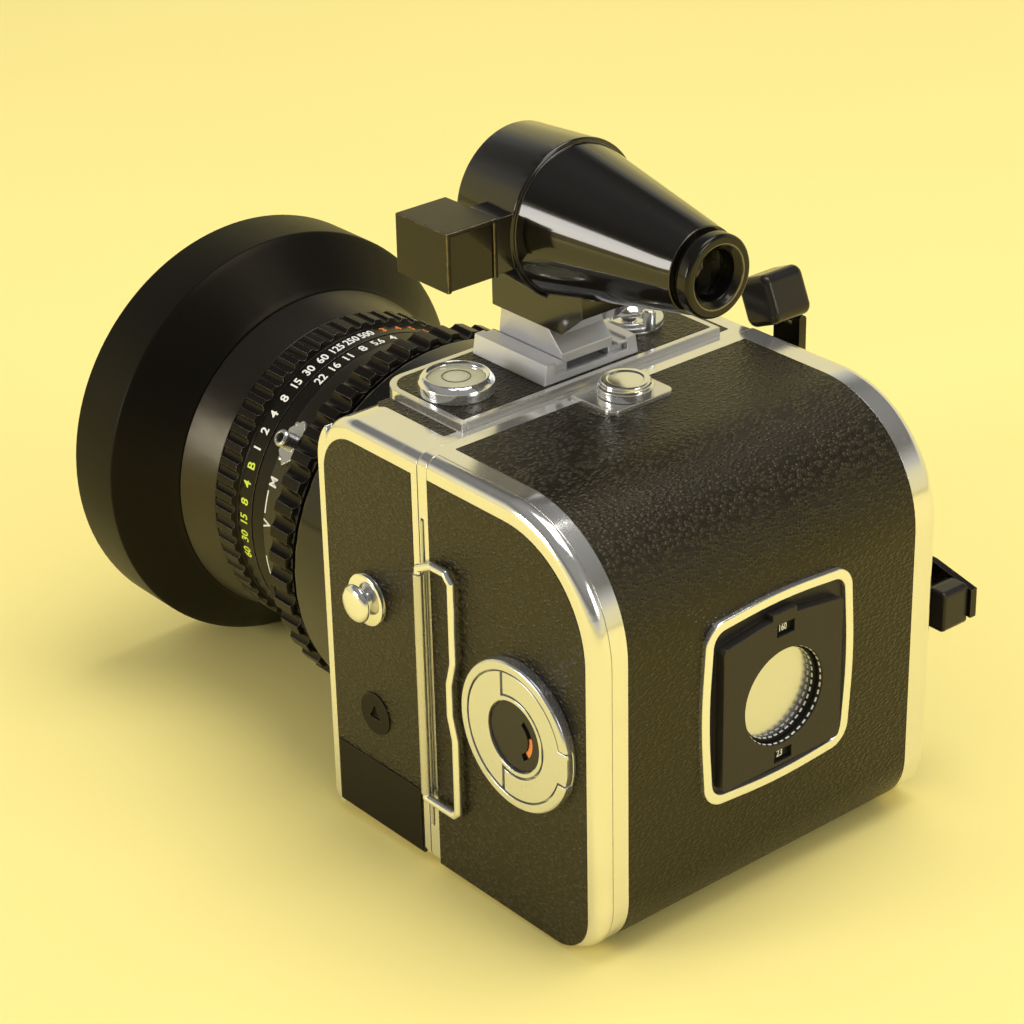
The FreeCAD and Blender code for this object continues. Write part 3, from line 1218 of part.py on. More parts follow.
# Dark slide with its rolled sleeve, and the folding wire bail
sleeve_x = side + size.sleeve_out
blade_y = (size.blade_y - size.blade_thickness / 2, size.blade_y + size.blade_thickness / 2)
blade = block("blade", (-size.blade_reach, sleeve_x), blade_y, (blade_low, blade_high))
blade_tab_room = [
    block("blade_tab_room_%d" % index, (side + 0.3, sleeve_x + 1), (blade_y[0] - 1, blade_y[1] + 1),
    (low, high))
    for index, (low, high) in enumerate(((blade_low - 1, size.sleeve_bottom),
    (size.sleeve_top, blade_high + 1)))
]
sleeve_axis = (sleeve_x, size.blade_y)
sleeve_outer = rod("sleeve_outer", "Z", sleeve_axis, size.sleeve_radius, size.sleeve_bottom,
    size.sleeve_top)
sleeve_bore = rod(
    "sleeve_bore", "Z", sleeve_axis, size.bail_wire + gap, size.sleeve_bottom - 1, size.sleeve_top + 1)
part(
    cut("slide_cut", fuse("slide_join", cut("blade_cut", blade, *blade_tab_room), sleeve_outer),
    sleeve_bore),
    "darkslide")


def wire(name, points, radius):
    """A round wire along straight runs, with a ball at each corner, in the plane of the bail."""
    pieces = []
    for index, (here, there) in enumerate(zip(points, points[1:])):
        run = doc.addObject("Part::Cylinder", "%s_run_%d" % (name, index))
        bind(run, "Radius", radius)
        along, rise = there[0] - here[0], there[1] - here[1]
        bind(run, "Height", Size(
            math.hypot(along.value, rise.value),
            "sqrt((%s) ^ 2 + (%s) ^ 2)" % (along.formula, rise.formula)))
        run.Placement.Rotation = FreeCAD.Rotation(V(0, 0, 1), V(0, along.value, rise.value))
        place(run, sleeve_x, here[0], here[1])
        pieces.append(run)
    for index, (along, up) in enumerate(points[1:-1]):
        ball = doc.addObject("Part::Sphere", "%s_corner_%d" % (name, index))
        bind(ball, "Radius", radius)
        place(ball, sleeve_x, along, up)
        pieces.append(ball)
    return fuse(name, *pieces)


reach_y = size.blade_y + size.bail_reach
dent_y = reach_y - size.bail_dent
bail_high = size.sleeve_top + size.bail_wire + 0.35
bail_low = size.sleeve_bottom - size.bail_wire - 0.35
middle = (size.sleeve_bottom + size.sleeve_top) / 2
bail_points = (
    (size.blade_y, size.sleeve_top - 4), (size.blade_y, bail_high),
    (size.blade_y + 4.2, bail_high + size.bail_rise),
    (reach_y - 1.6, bail_high + size.bail_rise), (reach_y, bail_high + size.bail_rise - 1.6),
    (reach_y, middle + 9),
    (dent_y, middle + 4), (dent_y, middle - 3), (reach_y, middle - 8), (reach_y, bail_low + 1.2),
    (reach_y - 1.2, bail_low), (size.blade_y, bail_low), (size.blade_y, size.sleeve_bottom + 4),
)
bail_points = tuple((as_size(along), as_size(up)) for along, up in bail_points)
part(wire("bail_wire_join", bail_points, size.bail_wire), "darkslide_bail")

# Film holder: outer plate with covering, carrier and spools
cover_clip = block("cover_clip", (cover_low, side + 1), (size.cover_front, back + 1), (-1, mag_top + 1))
cover_leather = sheet_piece(
    "cover_leather", "YZ_Plane",
    rectangle(size.cover_front - 0.01, size.cover_leather_rear, size.cover_leather_bottom,
    size.cover_leather_top),
    size.leather_thickness, side - inset,
    rounds=(((size.cover_leather_rear, size.cover_leather_top), size.cover_leather_round_top),
            ((size.cover_leather_rear, size.cover_leather_bottom), size.cover_leather_round_foot)))
key_axis = (size.key_y, size.key_z)
key_bore = rod("key_bore", "X", key_axis, 3.0 + gap, cover_low - 1, side + 2)
part(cut("cover_leather_cut", cover_leather, key_bore), "holder_leather")
part(cut("cover_cut", common("cover_common", mag_blank, cover_clip), cover_leather, key_bore),
    "holder_plate")

spool_high = side - size.spool_inset
spool_low = -spool_high
end_gap = 0.4
sheet_out = spool_high + end_gap + size.carrier_sheet
carrier_y = (reach_y + size.bail_wire + size.bail_room, back - 8.5)
carrier_z = (size.carrier_bottom, size.carrier_top)
left_end = block("left_end", (spool_high + end_gap, sheet_out), carrier_y, carrier_z)
right_end = block("right_end", (-sheet_out, -spool_high - end_gap), carrier_y, carrier_z)
bars = [
    block("bar_%d" % index, (-sheet_out, cover_low), bar_y, bar_z)
    for index, (bar_y, bar_z) in enumerate((
        ((carrier_y[0], carrier_y[0] + 3), (size.key_z - 2, size.key_z + 2)),
        ((carrier_y[1] - 3, carrier_y[1]), (size.key_z - 6, size.key_z + 6)),
        ((carrier_y[0], carrier_y[0] + 3), (size.carrier_bottom, size.carrier_bottom + 3)),
    ))
]
feed_axis = (size.spool_y, size.feed_z)
takeup_axis = (size.spool_y, size.takeup_z)
spool_pin = 2.0
pins = [
    rod("pin_%d" % index, "X", axis, spool_pin, low, high)
    for index, (axis, low, high) in enumerate((
        (feed_axis, spool_low - 1, spool_low + 6), (feed_axis, spool_high - 6, spool_high + 1),
        (takeup_axis, spool_high - 6, spool_high + 1),
    ))
]
takeup_bearing = rod("takeup_bearing", "X", takeup_axis, spool_pin + gap, spool_low - 4, spool_low + 1)
part(cut("carrier_cut", fuse("carrier_join", left_end, right_end, *bars, *pins), takeup_bearing),
    "film_carrier")


def spool_profile():
    """Half section of a film spool, drilled right through for its pins."""
    bore = spool_pin + gap
    flange = 1.2
    return (
        (bore, spool_low), (size.spool_radius, spool_low), (size.spool_radius, spool_low + flange),
        (size.spool_core, spool_low + flange), (size.spool_core, spool_high - flange),
        (size.spool_radius, spool_high - flange), (size.spool_radius, spool_high), (bore, spool_high),
    )


part(turned("feed_turned", "X", feed_axis, spool_profile()), "feed_spool")
gear_gap = size.takeup_z - size.magazine_crank_z
mag_module = gear_gap / size.gear_teeth
mag_gear_width = 2.6
mag_gear_low = -sheet_out - 0.6 - mag_gear_width
takeup_gear = gear(
    "takeup_gear", takeup_axis, size.gear_teeth, mag_module, mag_gear_low, mag_gear_width, 1.0, True)
takeup_core = turned("takeup_core", "X", takeup_axis, spool_profile())
takeup_shaft = rod("takeup_shaft", "X", takeup_axis, spool_pin, mag_gear_low, spool_low + 6)
takeup_plug = rod("takeup_plug", "X", takeup_axis, spool_pin + 0.5, spool_low, spool_low + 6)
part(fuse("takeup_join", takeup_core, takeup_gear, takeup_shaft, takeup_plug), "takeup_spool")

# Key of the film holder, with a folding flap and the film window disc
key_base = leather_side
key_top = key_base + size.key_rise
flap_low = key_base + 1.0
rim_radius = size.key_radius - size.key_rim
hub = size.key_hub_radius
key_rim_ring = turned("key_rim_ring", "X", key_axis, (
    (0, key_base), (size.key_radius, key_base), (size.key_radius, key_top - 0.4),
    (size.key_radius - 0.4, key_top),
    (rim_radius, key_top), (rim_radius, key_base + 0.8), (0, key_base + 0.8),
))
key_groove = 0.35
half_disc = ring(
    "half_disc", "X", key_axis, rim_radius - key_groove, hub + 0.15, key_base + 0.8, key_top - 0.15)
flap_x = (key_base - 1, key_top + 1)
beyond_line = block(
    "beyond_line", flap_x, (size.flap_line - 0.7, size.key_y + size.key_radius + 2),
    (size.key_z - 20, size.key_z + 20))
hub_rim = ring("hub_rim", "X", key_axis, hub + 1.0, hub + 0.15, key_base + 0.8, key_top - 0.15)
tab_notch = block(
    "tab_notch", (key_base + 0.8, key_top + 1), (size.key_y + 8, size.key_y + size.key_radius + 1),
    (size.key_z - 4.4, size.key_z + 3.0))
key_stem = ring("key_stem", "X", key_axis, 3.0, 1.2, cover_low - 2.5, key_base + 0.1)
key_left = cut("key_left", half_disc, beyond_line)
part(
    fuse("key_join", cut("key_rim_cut", fuse("key_rim_hub", key_rim_ring, hub_rim), tab_notch),
    key_left, key_stem),
    "holder_key")
flap_ring = ring(
    "flap_ring", "X", key_axis, rim_radius - key_groove, hub + 1.45, flap_low, key_top - 0.1)
flap_side = block(
    "flap_side", flap_x, (size.flap_line + 0.1, size.key_y + size.key_radius + 2),
    (size.key_z - 20, size.key_z + 20))
flap_tab = block(
    "flap_tab", (flap_low, key_top - 0.1), (size.key_y + 10, size.key_y + size.key_radius - 0.2),
    (size.key_z - 4.1, size.key_z + 2.7))
flap_half = common("flap_half", flap_ring, flap_side)
flap_body = common(
    "flap_trim", fuse("flap_join", flap_half, flap_tab),
    ring("flap_bound", "X", key_axis, size.key_radius - 0.1, 1, flap_low, key_top))
part(flap_body, "key_flap")
disc_blank = rod("disc_blank", "X", key_axis, hub, key_base + 0.8, key_base + 1.7)
disc_window = block(
    "disc_window", (key_base, key_top), (size.key_y + 2.0, size.key_y + 4.2),
    (size.key_z - 5.0, size.key_z + 4.0))
part(cut("disc_cut", disc_blank, disc_window), "film_window_disc")

# Winding crank of the body with its gears and folding knob
arm_x = (-leather_side - size.crank_out - size.arm_thickness, -leather_side - size.crank_out)
hub_start = -leather_side - 0.3
winding_hub = turned("winding_hub", "X", winding_axis, (
    (0, hub_start), (size.winding_hub, hub_start), (size.winding_hub, hub_start - 3.2),
    (size.winding_step, hub_start - 4.0), (size.winding_step, arm_x[0] + 0.6),
    (size.winding_step - 0.6, arm_x[0]),
    (0, arm_x[0]),
))
winding_shaft = rod("winding_shaft", "X", winding_axis, crank_shaft_radius, hub_start - 1,
    gear_start + gear_width)
arm_low = size.arm_end_y - size.arm_width / 2
arm_high = size.arm_end_y + size.arm_width / 2
arm_top = size.knob_hinge_z - 0.2
arm_points = (
    (size.winding_y - 4, size.winding_z - 1), (size.winding_y + 3, size.winding_z - 4),
    (arm_high, size.knob_hinge_z - 8.6), (arm_high, arm_top), (arm_low, arm_top),
    (arm_low, size.knob_hinge_z - 5.6),
)
winding_arm = sheet_piece("winding_arm", "YZ_Plane", arm_points, size.arm_thickness, arm_x[0])
hinge_axis = (arm_x[0] + size.arm_thickness / 2, size.knob_hinge_z)
barrel = rod("barrel", "Y", hinge_axis, size.knob_barrel, arm_low, arm_high)
hinge_pin_radius = 0.5
hinge_pin = rod("hinge_pin", "Y", hinge_axis, hinge_pin_radius, arm_low, arm_high)
knuckle = (size.arm_end_y - size.knob_knuckle / 2, size.arm_end_y + size.knob_knuckle / 2)
knuckle_room = block(
    "knuckle_room", (arm_x[0] - 1, arm_x[1] + 1), (knuckle[0] - 0.1, knuckle[1] + 0.1),
    (size.knob_hinge_z - 1.4, size.knob_hinge_z + 2))
arm_fork = cut("arm_fork", fuse("arm_barrel", winding_arm, barrel), knuckle_room)
part(fuse("winding_join", winding_hub, winding_shaft, arm_fork, hinge_pin), "winding_crank")
knob_start = arm_x[1] + 0.2
knob_points = rectangle(
    -size.knob_thickness / 2, size.knob_thickness / 2, -size.knob_height / 2, size.knob_height / 2)
knob = sheet_piece(
    "knob", "YZ_Plane", knob_points, size.knob_length, knob_start,
    rounds=[(corner, size.knob_round) for corner in knob_points],
    soft=(size.knob_round - 0.7,
    lambda edge: is_at(edge, "X", 0) or is_at(edge, "X", size.knob_length.value)))
knob.Placement.Rotation = FreeCAD.Rotation(V(1, 0, 0), size.knob_lean.value)
place(knob, knob_start, size.knob_y, size.knob_z)
lug = block("lug", (hinge_axis[0] - 0.6, knob_start + 0.2), knuckle, (size.knob_hinge_z, size.knob_z))
knuckle_rod = rod("knuckle_rod", "Y", hinge_axis, size.knob_barrel, *knuckle)
knuckle_bore = rod("knuckle_bore", "Y", hinge_axis, hinge_pin_radius + gap, knuckle[0] - 1,
    knuckle[1] + 1)
part(cut("knob_cut", fuse("knob_join", knob, lug, knuckle_rod), knuckle_bore), "crank_paddle")
part(
    gear("winding_gear_teeth", winding_axis, size.winding_gear_teeth, size.gear_module, gear_start,
    gear_width,
         crank_shaft_radius, False),
    "winding_gear")
part(
    gear("cocking_gear_teeth", cocking_axis, size.winding_gear_teeth, size.gear_module, gear_start,
    gear_width,
         2.0 + gap, True),
    "cocking_gear")

# Magazine crank with its gear and turning grip
mag_arm_x = (-leather_side - size.magazine_crank_out - size.magazine_arm,
    -leather_side - size.magazine_crank_out)
mag_hub = turned("mag_hub", "X", mag_crank_axis, (
    (0, hub_start), (size.magazine_hub, hub_start), (size.magazine_hub, hub_start - 2.6),
    (size.magazine_hub_step, hub_start - 3.4), (size.magazine_hub_step, mag_arm_x[0] + 0.5),
    (size.magazine_hub_step - 0.5, mag_arm_x[0]), (0, mag_arm_x[0]),
))
mag_shaft = rod("mag_shaft", "X", mag_crank_axis, mag_shaft_radius, hub_start - 1,
    mag_gear_low + mag_gear_width)
arm_far = size.grip_y + size.grip_width / 2 + 0.8
mag_arm = sheet_piece(
    "mag_arm", "YZ_Plane",
    ((size.spool_y - 5, size.magazine_crank_z - 4), (arm_far, size.grip_z - 3),
    (arm_far, size.grip_z + 3.4),
     (size.spool_y + 8.8, size.magazine_crank_z + 3.7), (size.spool_y - 5, size.magazine_crank_z + 4)),
    size.magazine_arm, mag_arm_x[0])
grip_x = (mag_arm_x[1] + 0.2, mag_arm_x[1] + 0.2 + size.grip_length)
grip_axis = (size.grip_y, size.grip_z)
grip_pin = rod("grip_pin", "X", grip_axis, size.grip_pin, mag_arm_x[0] + 0.5, grip_x[1] - 1.0)
part(fuse("mag_crank_join", mag_hub, mag_shaft, mag_arm, grip_pin), "magazine_crank")
grip_points = rectangle(
    size.grip_y - size.grip_width / 2, size.grip_y + size.grip_width / 2,
    size.grip_z - size.grip_height / 2, size.grip_z + size.grip_height / 2)
grip = sheet_piece(
    "grip", "YZ_Plane", grip_points, size.grip_length, grip_x[0],
    rounds=((grip_points[0], 1.2), (grip_points[1], 1.2), (grip_points[2], 1.2), (grip_points[3], 3.4)),
    soft=(0.6, lambda edge: is_at(edge, "X", size.grip_length.value)))
grip_bore = rod("grip_bore", "X", grip_axis, size.grip_pin + gap, grip_x[0] - 1, grip_x[1] - 0.9)
part(cut("grip_cut", grip, grip_bore), "magazine_crank_handle")
part(
    gear("mag_gear_teeth", mag_crank_axis, size.gear_teeth, mag_module, mag_gear_low, mag_gear_width,
         mag_shaft_radius, False),
    "magazine_gear")

doc.recompute()

# Every object has to be sound before anything is written
faults = []
for item in doc.Objects:
    if "Invalid" in item.State or "Error" in item.State:
        faults.append("%s is %s" % (item.Label, item.State))
for item in nodes:
    shape = item.Shape
    if shape.isNull() or not shape.isValid() or not shape.Solids:
        faults.append(item.Label + " has no sound solid")
if faults:
    raise RuntimeError("; ".join(faults))

os.makedirs("parts", exist_ok=True)
for item in nodes:
    item.Shape.exportStep("parts/%s.step" % item.Label)
    print("%-24s solids %d volume %.1f" % (item.Label, len(item.Shape.Solids), item.Shape.Volume))
print(len(nodes), "pieces")
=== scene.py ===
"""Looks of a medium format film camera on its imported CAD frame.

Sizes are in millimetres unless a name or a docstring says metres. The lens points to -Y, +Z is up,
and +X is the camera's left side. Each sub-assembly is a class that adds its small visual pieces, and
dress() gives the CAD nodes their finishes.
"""

import json
import logging
import math
from dataclasses import dataclass
from enum import Enum
from typing import Callable, Optional, Sequence, Union

import bpy
from mathutils import Matrix, Vector

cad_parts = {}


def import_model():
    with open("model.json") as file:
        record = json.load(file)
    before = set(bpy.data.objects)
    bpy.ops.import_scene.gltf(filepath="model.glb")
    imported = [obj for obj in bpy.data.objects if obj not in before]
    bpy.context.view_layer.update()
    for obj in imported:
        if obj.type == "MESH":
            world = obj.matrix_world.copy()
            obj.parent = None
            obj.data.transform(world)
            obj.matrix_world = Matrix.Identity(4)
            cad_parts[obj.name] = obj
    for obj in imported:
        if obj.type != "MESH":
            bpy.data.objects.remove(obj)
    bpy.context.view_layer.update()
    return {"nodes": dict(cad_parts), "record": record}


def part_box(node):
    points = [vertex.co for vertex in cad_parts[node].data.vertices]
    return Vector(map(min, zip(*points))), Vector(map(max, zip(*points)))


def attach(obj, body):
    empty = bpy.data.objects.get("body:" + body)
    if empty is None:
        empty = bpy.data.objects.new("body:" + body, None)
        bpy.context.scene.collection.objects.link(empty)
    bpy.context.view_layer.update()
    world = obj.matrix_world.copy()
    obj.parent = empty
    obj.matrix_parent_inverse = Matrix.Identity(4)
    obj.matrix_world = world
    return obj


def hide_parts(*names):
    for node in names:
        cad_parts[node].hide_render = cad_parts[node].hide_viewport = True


MM = 0.001
LENS_Z = 43.2
LOG = logging.getLogger("camera_scene")
WARM_SHEEN = (1.0, 0.87, 0.60, 1.0)
FIGURE_STEP = 6.62
FIGURE_HEIGHT = 2.4
FIGURE_SHARE = 0.72
NARROWER = 0.1
NARROWEST = 0.7
LINE_WIDTH = 0.35
LINE_THICKNESS = 0.12
BARREL_RADIUS = 34.7
MERGE_METRES = 2e-6
FLAT_DEGREES = 0.3
Piece = bpy.types.Object
Pair = tuple[float, float]
Triple = tuple[float, float, float]
Colour = tuple[float, float, float, float]
Number = Union[float, "Wire"]


class Wire:
    """One output socket of a node tree whose arithmetic adds Math nodes."""

    def __init__(self, graph: "NodeTree", socket: bpy.types.NodeSocket) -> None:
        """Keep the graph and the socket."""
        self.graph = graph
        self.socket = socket

    def math(self, operation: str, first: Number, second: Number = 0.0) -> "Wire":
        """Add one Math node.

        Args:
            operation: The Math node's operation.
            first: Value or wire of the first input.
            second: Value or wire of the second input.

        Returns:
            The node's result.
        """
        return self.graph.wire("Math", {"operation": operation}, {0: first, 1: second})

    def __add__(self, other: Number) -> "Wire":
        """Return the sum."""
        return self.math("ADD", self, other)

    def __radd__(self, other: Number) -> "Wire":
        """Return the sum with a number in front."""
        return self.math("ADD", other, self)

    def __sub__(self, other: Number) -> "Wire":
        """Return the difference."""
        return self.math("SUBTRACT", self, other)

    def __rsub__(self, other: Number) -> "Wire":
        """Return a number less this wire."""
        return self.math("SUBTRACT", other, self)

    def __mul__(self, other: Number) -> "Wire":
        """Return the product."""
        return self.math("MULTIPLY", self, other)

    def __rmul__(self, other: Number) -> "Wire":
        """Return the product with a number in front."""
        return self.math("MULTIPLY", other, self)

    def __pow__(self, other: Number) -> "Wire":
        """Return the power."""
        return self.math("POWER", self, other)

    def clamped(self) -> "Wire":
        """Return the wire kept between zero and one."""
        return self.math("MINIMUM", self.math("MAXIMUM", self, 0.0), 1.0)


class NodeTree:
    """The node tree of a material or of the world, with one method that makes its nodes."""

    def __init__(self, tree: bpy.types.NodeTree) -> None:
        """Keep the tree and empty it."""
        self.tree = tree
        self.tree.nodes.clear()

    def add(self, kind: str, settings: dict, inputs: dict) -> bpy.types.Node:
        """Make one node.

        Args:
            kind: Type of the shader node.
            settings: Settings of the node, with a ramp's stops under "stops".
            inputs: Values or wires of its sockets, by name or number.

        Returns:
            The new node.
        """
        node = self.tree.nodes.new("ShaderNode" + kind)
        for name, value in settings.items():
            if name == "stops":
                elements = node.color_ramp.elements
                while len(elements) < len(value):
                    elements.new(0.5)
                for element, (position, colour) in zip(elements, value):
                    element.position = position
                    element.color = colour
            else:
                setattr(node, name, value)
        for key, value in inputs.items():
            if isinstance(value, Wire):
                self.tree.links.new(value.socket, node.inputs[key])
            else:
                node.inputs[key].default_value = value
        return node

    def wire(self, kind: str, settings: dict, inputs: dict, output: Union[int, str] = 0) -> Wire:
        """Make one node and return one of its outputs.

        Args:
            kind: Type of the shader node.
            settings: Settings of the node.
            inputs: Values or wires of its sockets.
            output: Name or number of the output.

        Returns:
            The output as a wire.
        """
        return Wire(self, self.add(kind, settings, inputs).outputs[output])


class Graph(NodeTree):
    """The node tree of one material."""

    def __init__(self, name: str) -> None:
        """Start an empty material.

        Args:
            name: Name of the material.
        """
        self.material = bpy.data.materials.new(name)
        self.material.use_nodes = True
        super().__init__(self.material.node_tree)
        self.shader = self.add("BsdfPrincipled", {}, {})
        self.add("OutputMaterial", {}, {"Surface": Wire(self, self.shader.outputs[0])})
        self.place = self.wire("TexCoord", {}, {}, "Object")

    def shade(self, **values: Union[float, Colour, Wire]) -> None:
        """Set sockets of the shader, given with underscores for blanks."""
        for name, value in values.items():
            socket = self.shader.inputs[name.replace("_", " ")]
            if isinstance(value, Wire):
                self.tree.links.new(value.socket, socket)
            else:
                socket.default_value = value

    def noise(self, scale: float, detail: float = 3.0, vector: Optional[Wire] = None) -> Wire:
        """Add noise.

        Args:
            scale: Grains per metre.
            detail: Number of finer layers.
            vector: Where the noise is read, the object's own place if left out.

        Returns:
            Noise between zero and one.
        """
        inputs = {"Vector": vector or self.place, "Scale": scale, "Detail": detail}
        return self.wire("TexNoise", {}, inputs, "Fac")

    def cells(self, scale: float, vector: Wire, smooth: float) -> Wire:
        """Add a smooth Voronoi pattern.

        Args:
            scale: Cells per metre.
            vector: Where the pattern is read.
            smooth: How far neighbouring cells run together.

        Returns:
            The distance to the nearest cell centre.
        """
        inputs = {"Vector": vector, "Scale": scale, "Smoothness": smooth}
        return self.wire("TexVoronoi", {"feature": "SMOOTH_F1"}, inputs, "Distance")

    def mapped(self, turn: Triple, stretch: Triple) -> Wire:
        """Return the object's place, turned in degrees and stretched."""
        rotation = tuple(math.radians(angle) for angle in turn)
        inputs = {"Vector": self.place, "Rotation": rotation, "Scale": stretch}
        return self.wire("Mapping", {}, inputs)

    def parts(self, vector: Wire) -> tuple[Wire, ...]:
        """Return the three components of a vector."""
        node = self.add("SeparateXYZ", {}, {0: vector})
        return tuple(Wire(self, socket) for socket in node.outputs)

    def joined(self, first: Number, second: Number, third: Number) -> Wire:
        """Return a vector made of three components."""
        return self.wire("CombineXYZ", {}, {0: first, 1: second, 2: third})

    def blend(self, factor: Number, first: Union[Colour, Wire], second: Union[Colour, Wire]) -> Wire:
        """Mix two colours.

        Args:
            factor: How much of the second colour shows.
            first: Colour at zero.
            second: Colour at one.

        Returns:
            The mixed colour.
        """
        return self.wire("Mix", {"data_type": "RGBA"}, {0: factor, 6: first, 7: second}, 2)

    def band(self, value: Wire, low: float, high: float) -> Wire:
        """Return a soft step from zero below low to one above high."""
        inputs = {0: value, 1: low, 2: high, 3: 0.0, 4: 1.0}
        return self.wire("MapRange", {"interpolation_type": "SMOOTHSTEP"}, inputs)

    def soft_edge(self, radius: float) -> Wire:
        """Round the normal at edges.

        Args:
            radius: Radius of the rounding in millimetres.
        """
        return self.wire("Bevel", {"samples": 4}, {"Radius": radius * MM})

    def edge_mask(self, rounded: Wire) -> Wire:
        """Return how far the rounded normal leans from the face's own, which marks edges."""
        face = self.wire("NewGeometry", {}, {}, "True Normal")
        inputs = {0: rounded, 1: face}
        return 1.0 - self.wire("VectorMath", {"operation": "DOT_PRODUCT"}, inputs, "Value")

    def bump(self, height: Wire, depth: float, strength: float, normal: Optional[Wire] = None) -> Wire:
        """Raise the normal by a height.

        Args:
            height: Height between zero and one.
            depth: Depth of the relief in millimetres.
            strength: Strength of the Bump node.
            normal: Normal that the relief stands on.

        Returns:
            The new normal.
        """
        inputs = {"Height": height, "Distance": depth * MM, "Strength": strength}
        if normal is not None:
            inputs["Normal"] = normal
        return self.wire("Bump", {}, inputs)


def toned(colour: Colour, factor: float, lift: float = 0.0) -> Colour:
    """Return a colour scaled by a factor and lifted, each channel at most one."""
    return tuple(min(1.0, channel * factor + lift) for channel in colour[:3]) + (1.0,)


class Pattern(Enum):
    """How a surface was worked."""

    CAST = "even"
    BRUSHED_X = "brushed along X"
    BRUSHED_Z = "brushed along Z"
    TURNED_X = "turned about X"
    TURNED_Y = "turned about Y"
    TURNED_Z = "turned about Z"


@dataclass(frozen=True)
class Finish:
    """What every finish has: a name, and a pattern with the axis of what was turned, in millimetres."""

    name: str
    pattern: Pattern = Pattern.CAST
    axis: Pair = (0.0, LENS_Z)

    def grain(self, graph: Graph) -> Wire:
        """Find where fine working marks are read.

        Args:
            graph: The material's graph.

        Returns:
            The place, pressed together along the direction in which the marks run.
        """
        x, y, z = graph.parts(graph.place)
        first, second = (value * MM for value in self.axis)
        slow = 0.04
        if self.pattern is Pattern.BRUSHED_X:
            return graph.joined(x * slow, y, z)
        if self.pattern is Pattern.BRUSHED_Z:
            return graph.joined(x, y, z * slow)
        if self.pattern is Pattern.CAST:
            return graph.place
        across, up, along = {
            Pattern.TURNED_X: (y, z, x),
            Pattern.TURNED_Y: (x, z, y),
            Pattern.TURNED_Z: (x, y, z),
        }[self.pattern]
        return graph.joined(((across - first) ** 2.0 + (up - second) ** 2.0) ** 0.5, along, 0.0)

    def paint(self, graph: Graph) -> None:
        """Fill the material's graph."""
        raise NotImplementedError

    def material(self) -> bpy.types.Material:
        """Return the finish's material, made once."""
        found = bpy.data.materials.get(self.name)
        if found is not None:
            return found
        graph = Graph(self.name)
        self.paint(graph)
        return graph.material


@dataclass(frozen=True)
class Metal(Finish):
    """Bare or plated metal with working marks, smudges and soft edges."""

    colour: Colour = (0.82, 0.80, 0.76, 1.0)
    roughness: float = 0.2
    spread: float = 0.12
    marks: float = 0.25
    mark_depth: float = 0.002
    edge: float = 0.25
    stain: float = 0.12
    metallic: float = 0.9
    fine_scale: float = 2600.0
    smudge_scale: float = 75.0
    spot_scale: float = 420.0
    spot_band: Pair = (0.62, 0.75)
    dirt_band: Pair = (0.5, 0.78)
    dirt_tone: float = 0.72

    def paint(self, graph: Graph) -> None:
        """Fill the material's graph."""
        fine = graph.noise(self.fine_scale, 2.0, self.grain(graph))
        smudge = graph.noise(self.smudge_scale, 4.0)
        spots = graph.band(graph.noise(self.spot_scale, 3.0), *self.spot_band)
        dirt = (graph.band(smudge, *self.dirt_band) * 0.6 + spots * 0.25) * self.stain
        uneven = (smudge - 0.5) * self.spread + (fine - 0.5) * self.marks * self.roughness + spots * 0.08
        graph.shade(
            Base_Color=graph.blend(dirt, self.colour, toned(self.colour, self.dirt_tone)),
            Metallic=self.metallic,
            Roughness=(self.roughness + uneven).clamped(),
            Normal=graph.bump(fine, self.mark_depth, 0.6, graph.soft_edge(self.edge)),
        )


@dataclass(frozen=True)
class Paint(Finish):
    """Black lacquer or eloxal over metal, worn through at the edges."""

    colour: Colour = (0.005, 0.0045, 0.004, 1.0)
    roughness: float = 0.3
    coat: float = 0.0
    peel: float = 0.004
    edge: float = 0.25
    wear: float = 0.35
    under: Colour = (0.50, 0.41, 0.27, 1.0)
    dust: float = 0.12
    shine: float = 0.16
    fine_scale: float = 1900.0
    smudge_scale: float = 90.0
    speck_scale: float = 1400.0
    speck_band: Pair = (0.70, 0.78)
    chip_scale: float = 700.0
    chip_spread: float = 0.12
    chip_band: Pair = (0.045, 0.10)

    def paint(self, graph: Graph) -> None:
        """Fill the material's graph."""
        fine = graph.noise(self.fine_scale, 2.0, self.grain(graph))
        smudge = graph.noise(self.smudge_scale, 4.0)
        specks = graph.band(graph.noise(self.speck_scale, 2.0), *self.speck_band)
        rounded = graph.soft_edge(self.edge)
        ragged = graph.edge_mask(rounded) + (graph.noise(self.chip_scale, 3.0) - 0.5) * self.chip_spread
        chipped = graph.band(ragged, *self.chip_band) * self.wear
        coloured = graph.blend(specks * self.dust, self.colour, toned(self.colour, 1.0, 0.05))
        uneven = (smudge - 0.5) * 0.12 + (fine - 0.5) * 0.08 + specks * 0.1
        graph.shade(
            Base_Color=graph.blend(chipped, coloured, self.under),
            Metallic=chipped * 0.9,
            Roughness=(self.roughness + uneven).clamped(),
            Coat_Weight=(self.coat * (1.0 - chipped)).clamped(),
            Coat_Roughness=0.08,
            Specular_IOR_Level=self.shine,
            Specular_Tint=WARM_SHEEN,
            Normal=graph.bump(fine, self.peel, 0.5, rounded),
        )


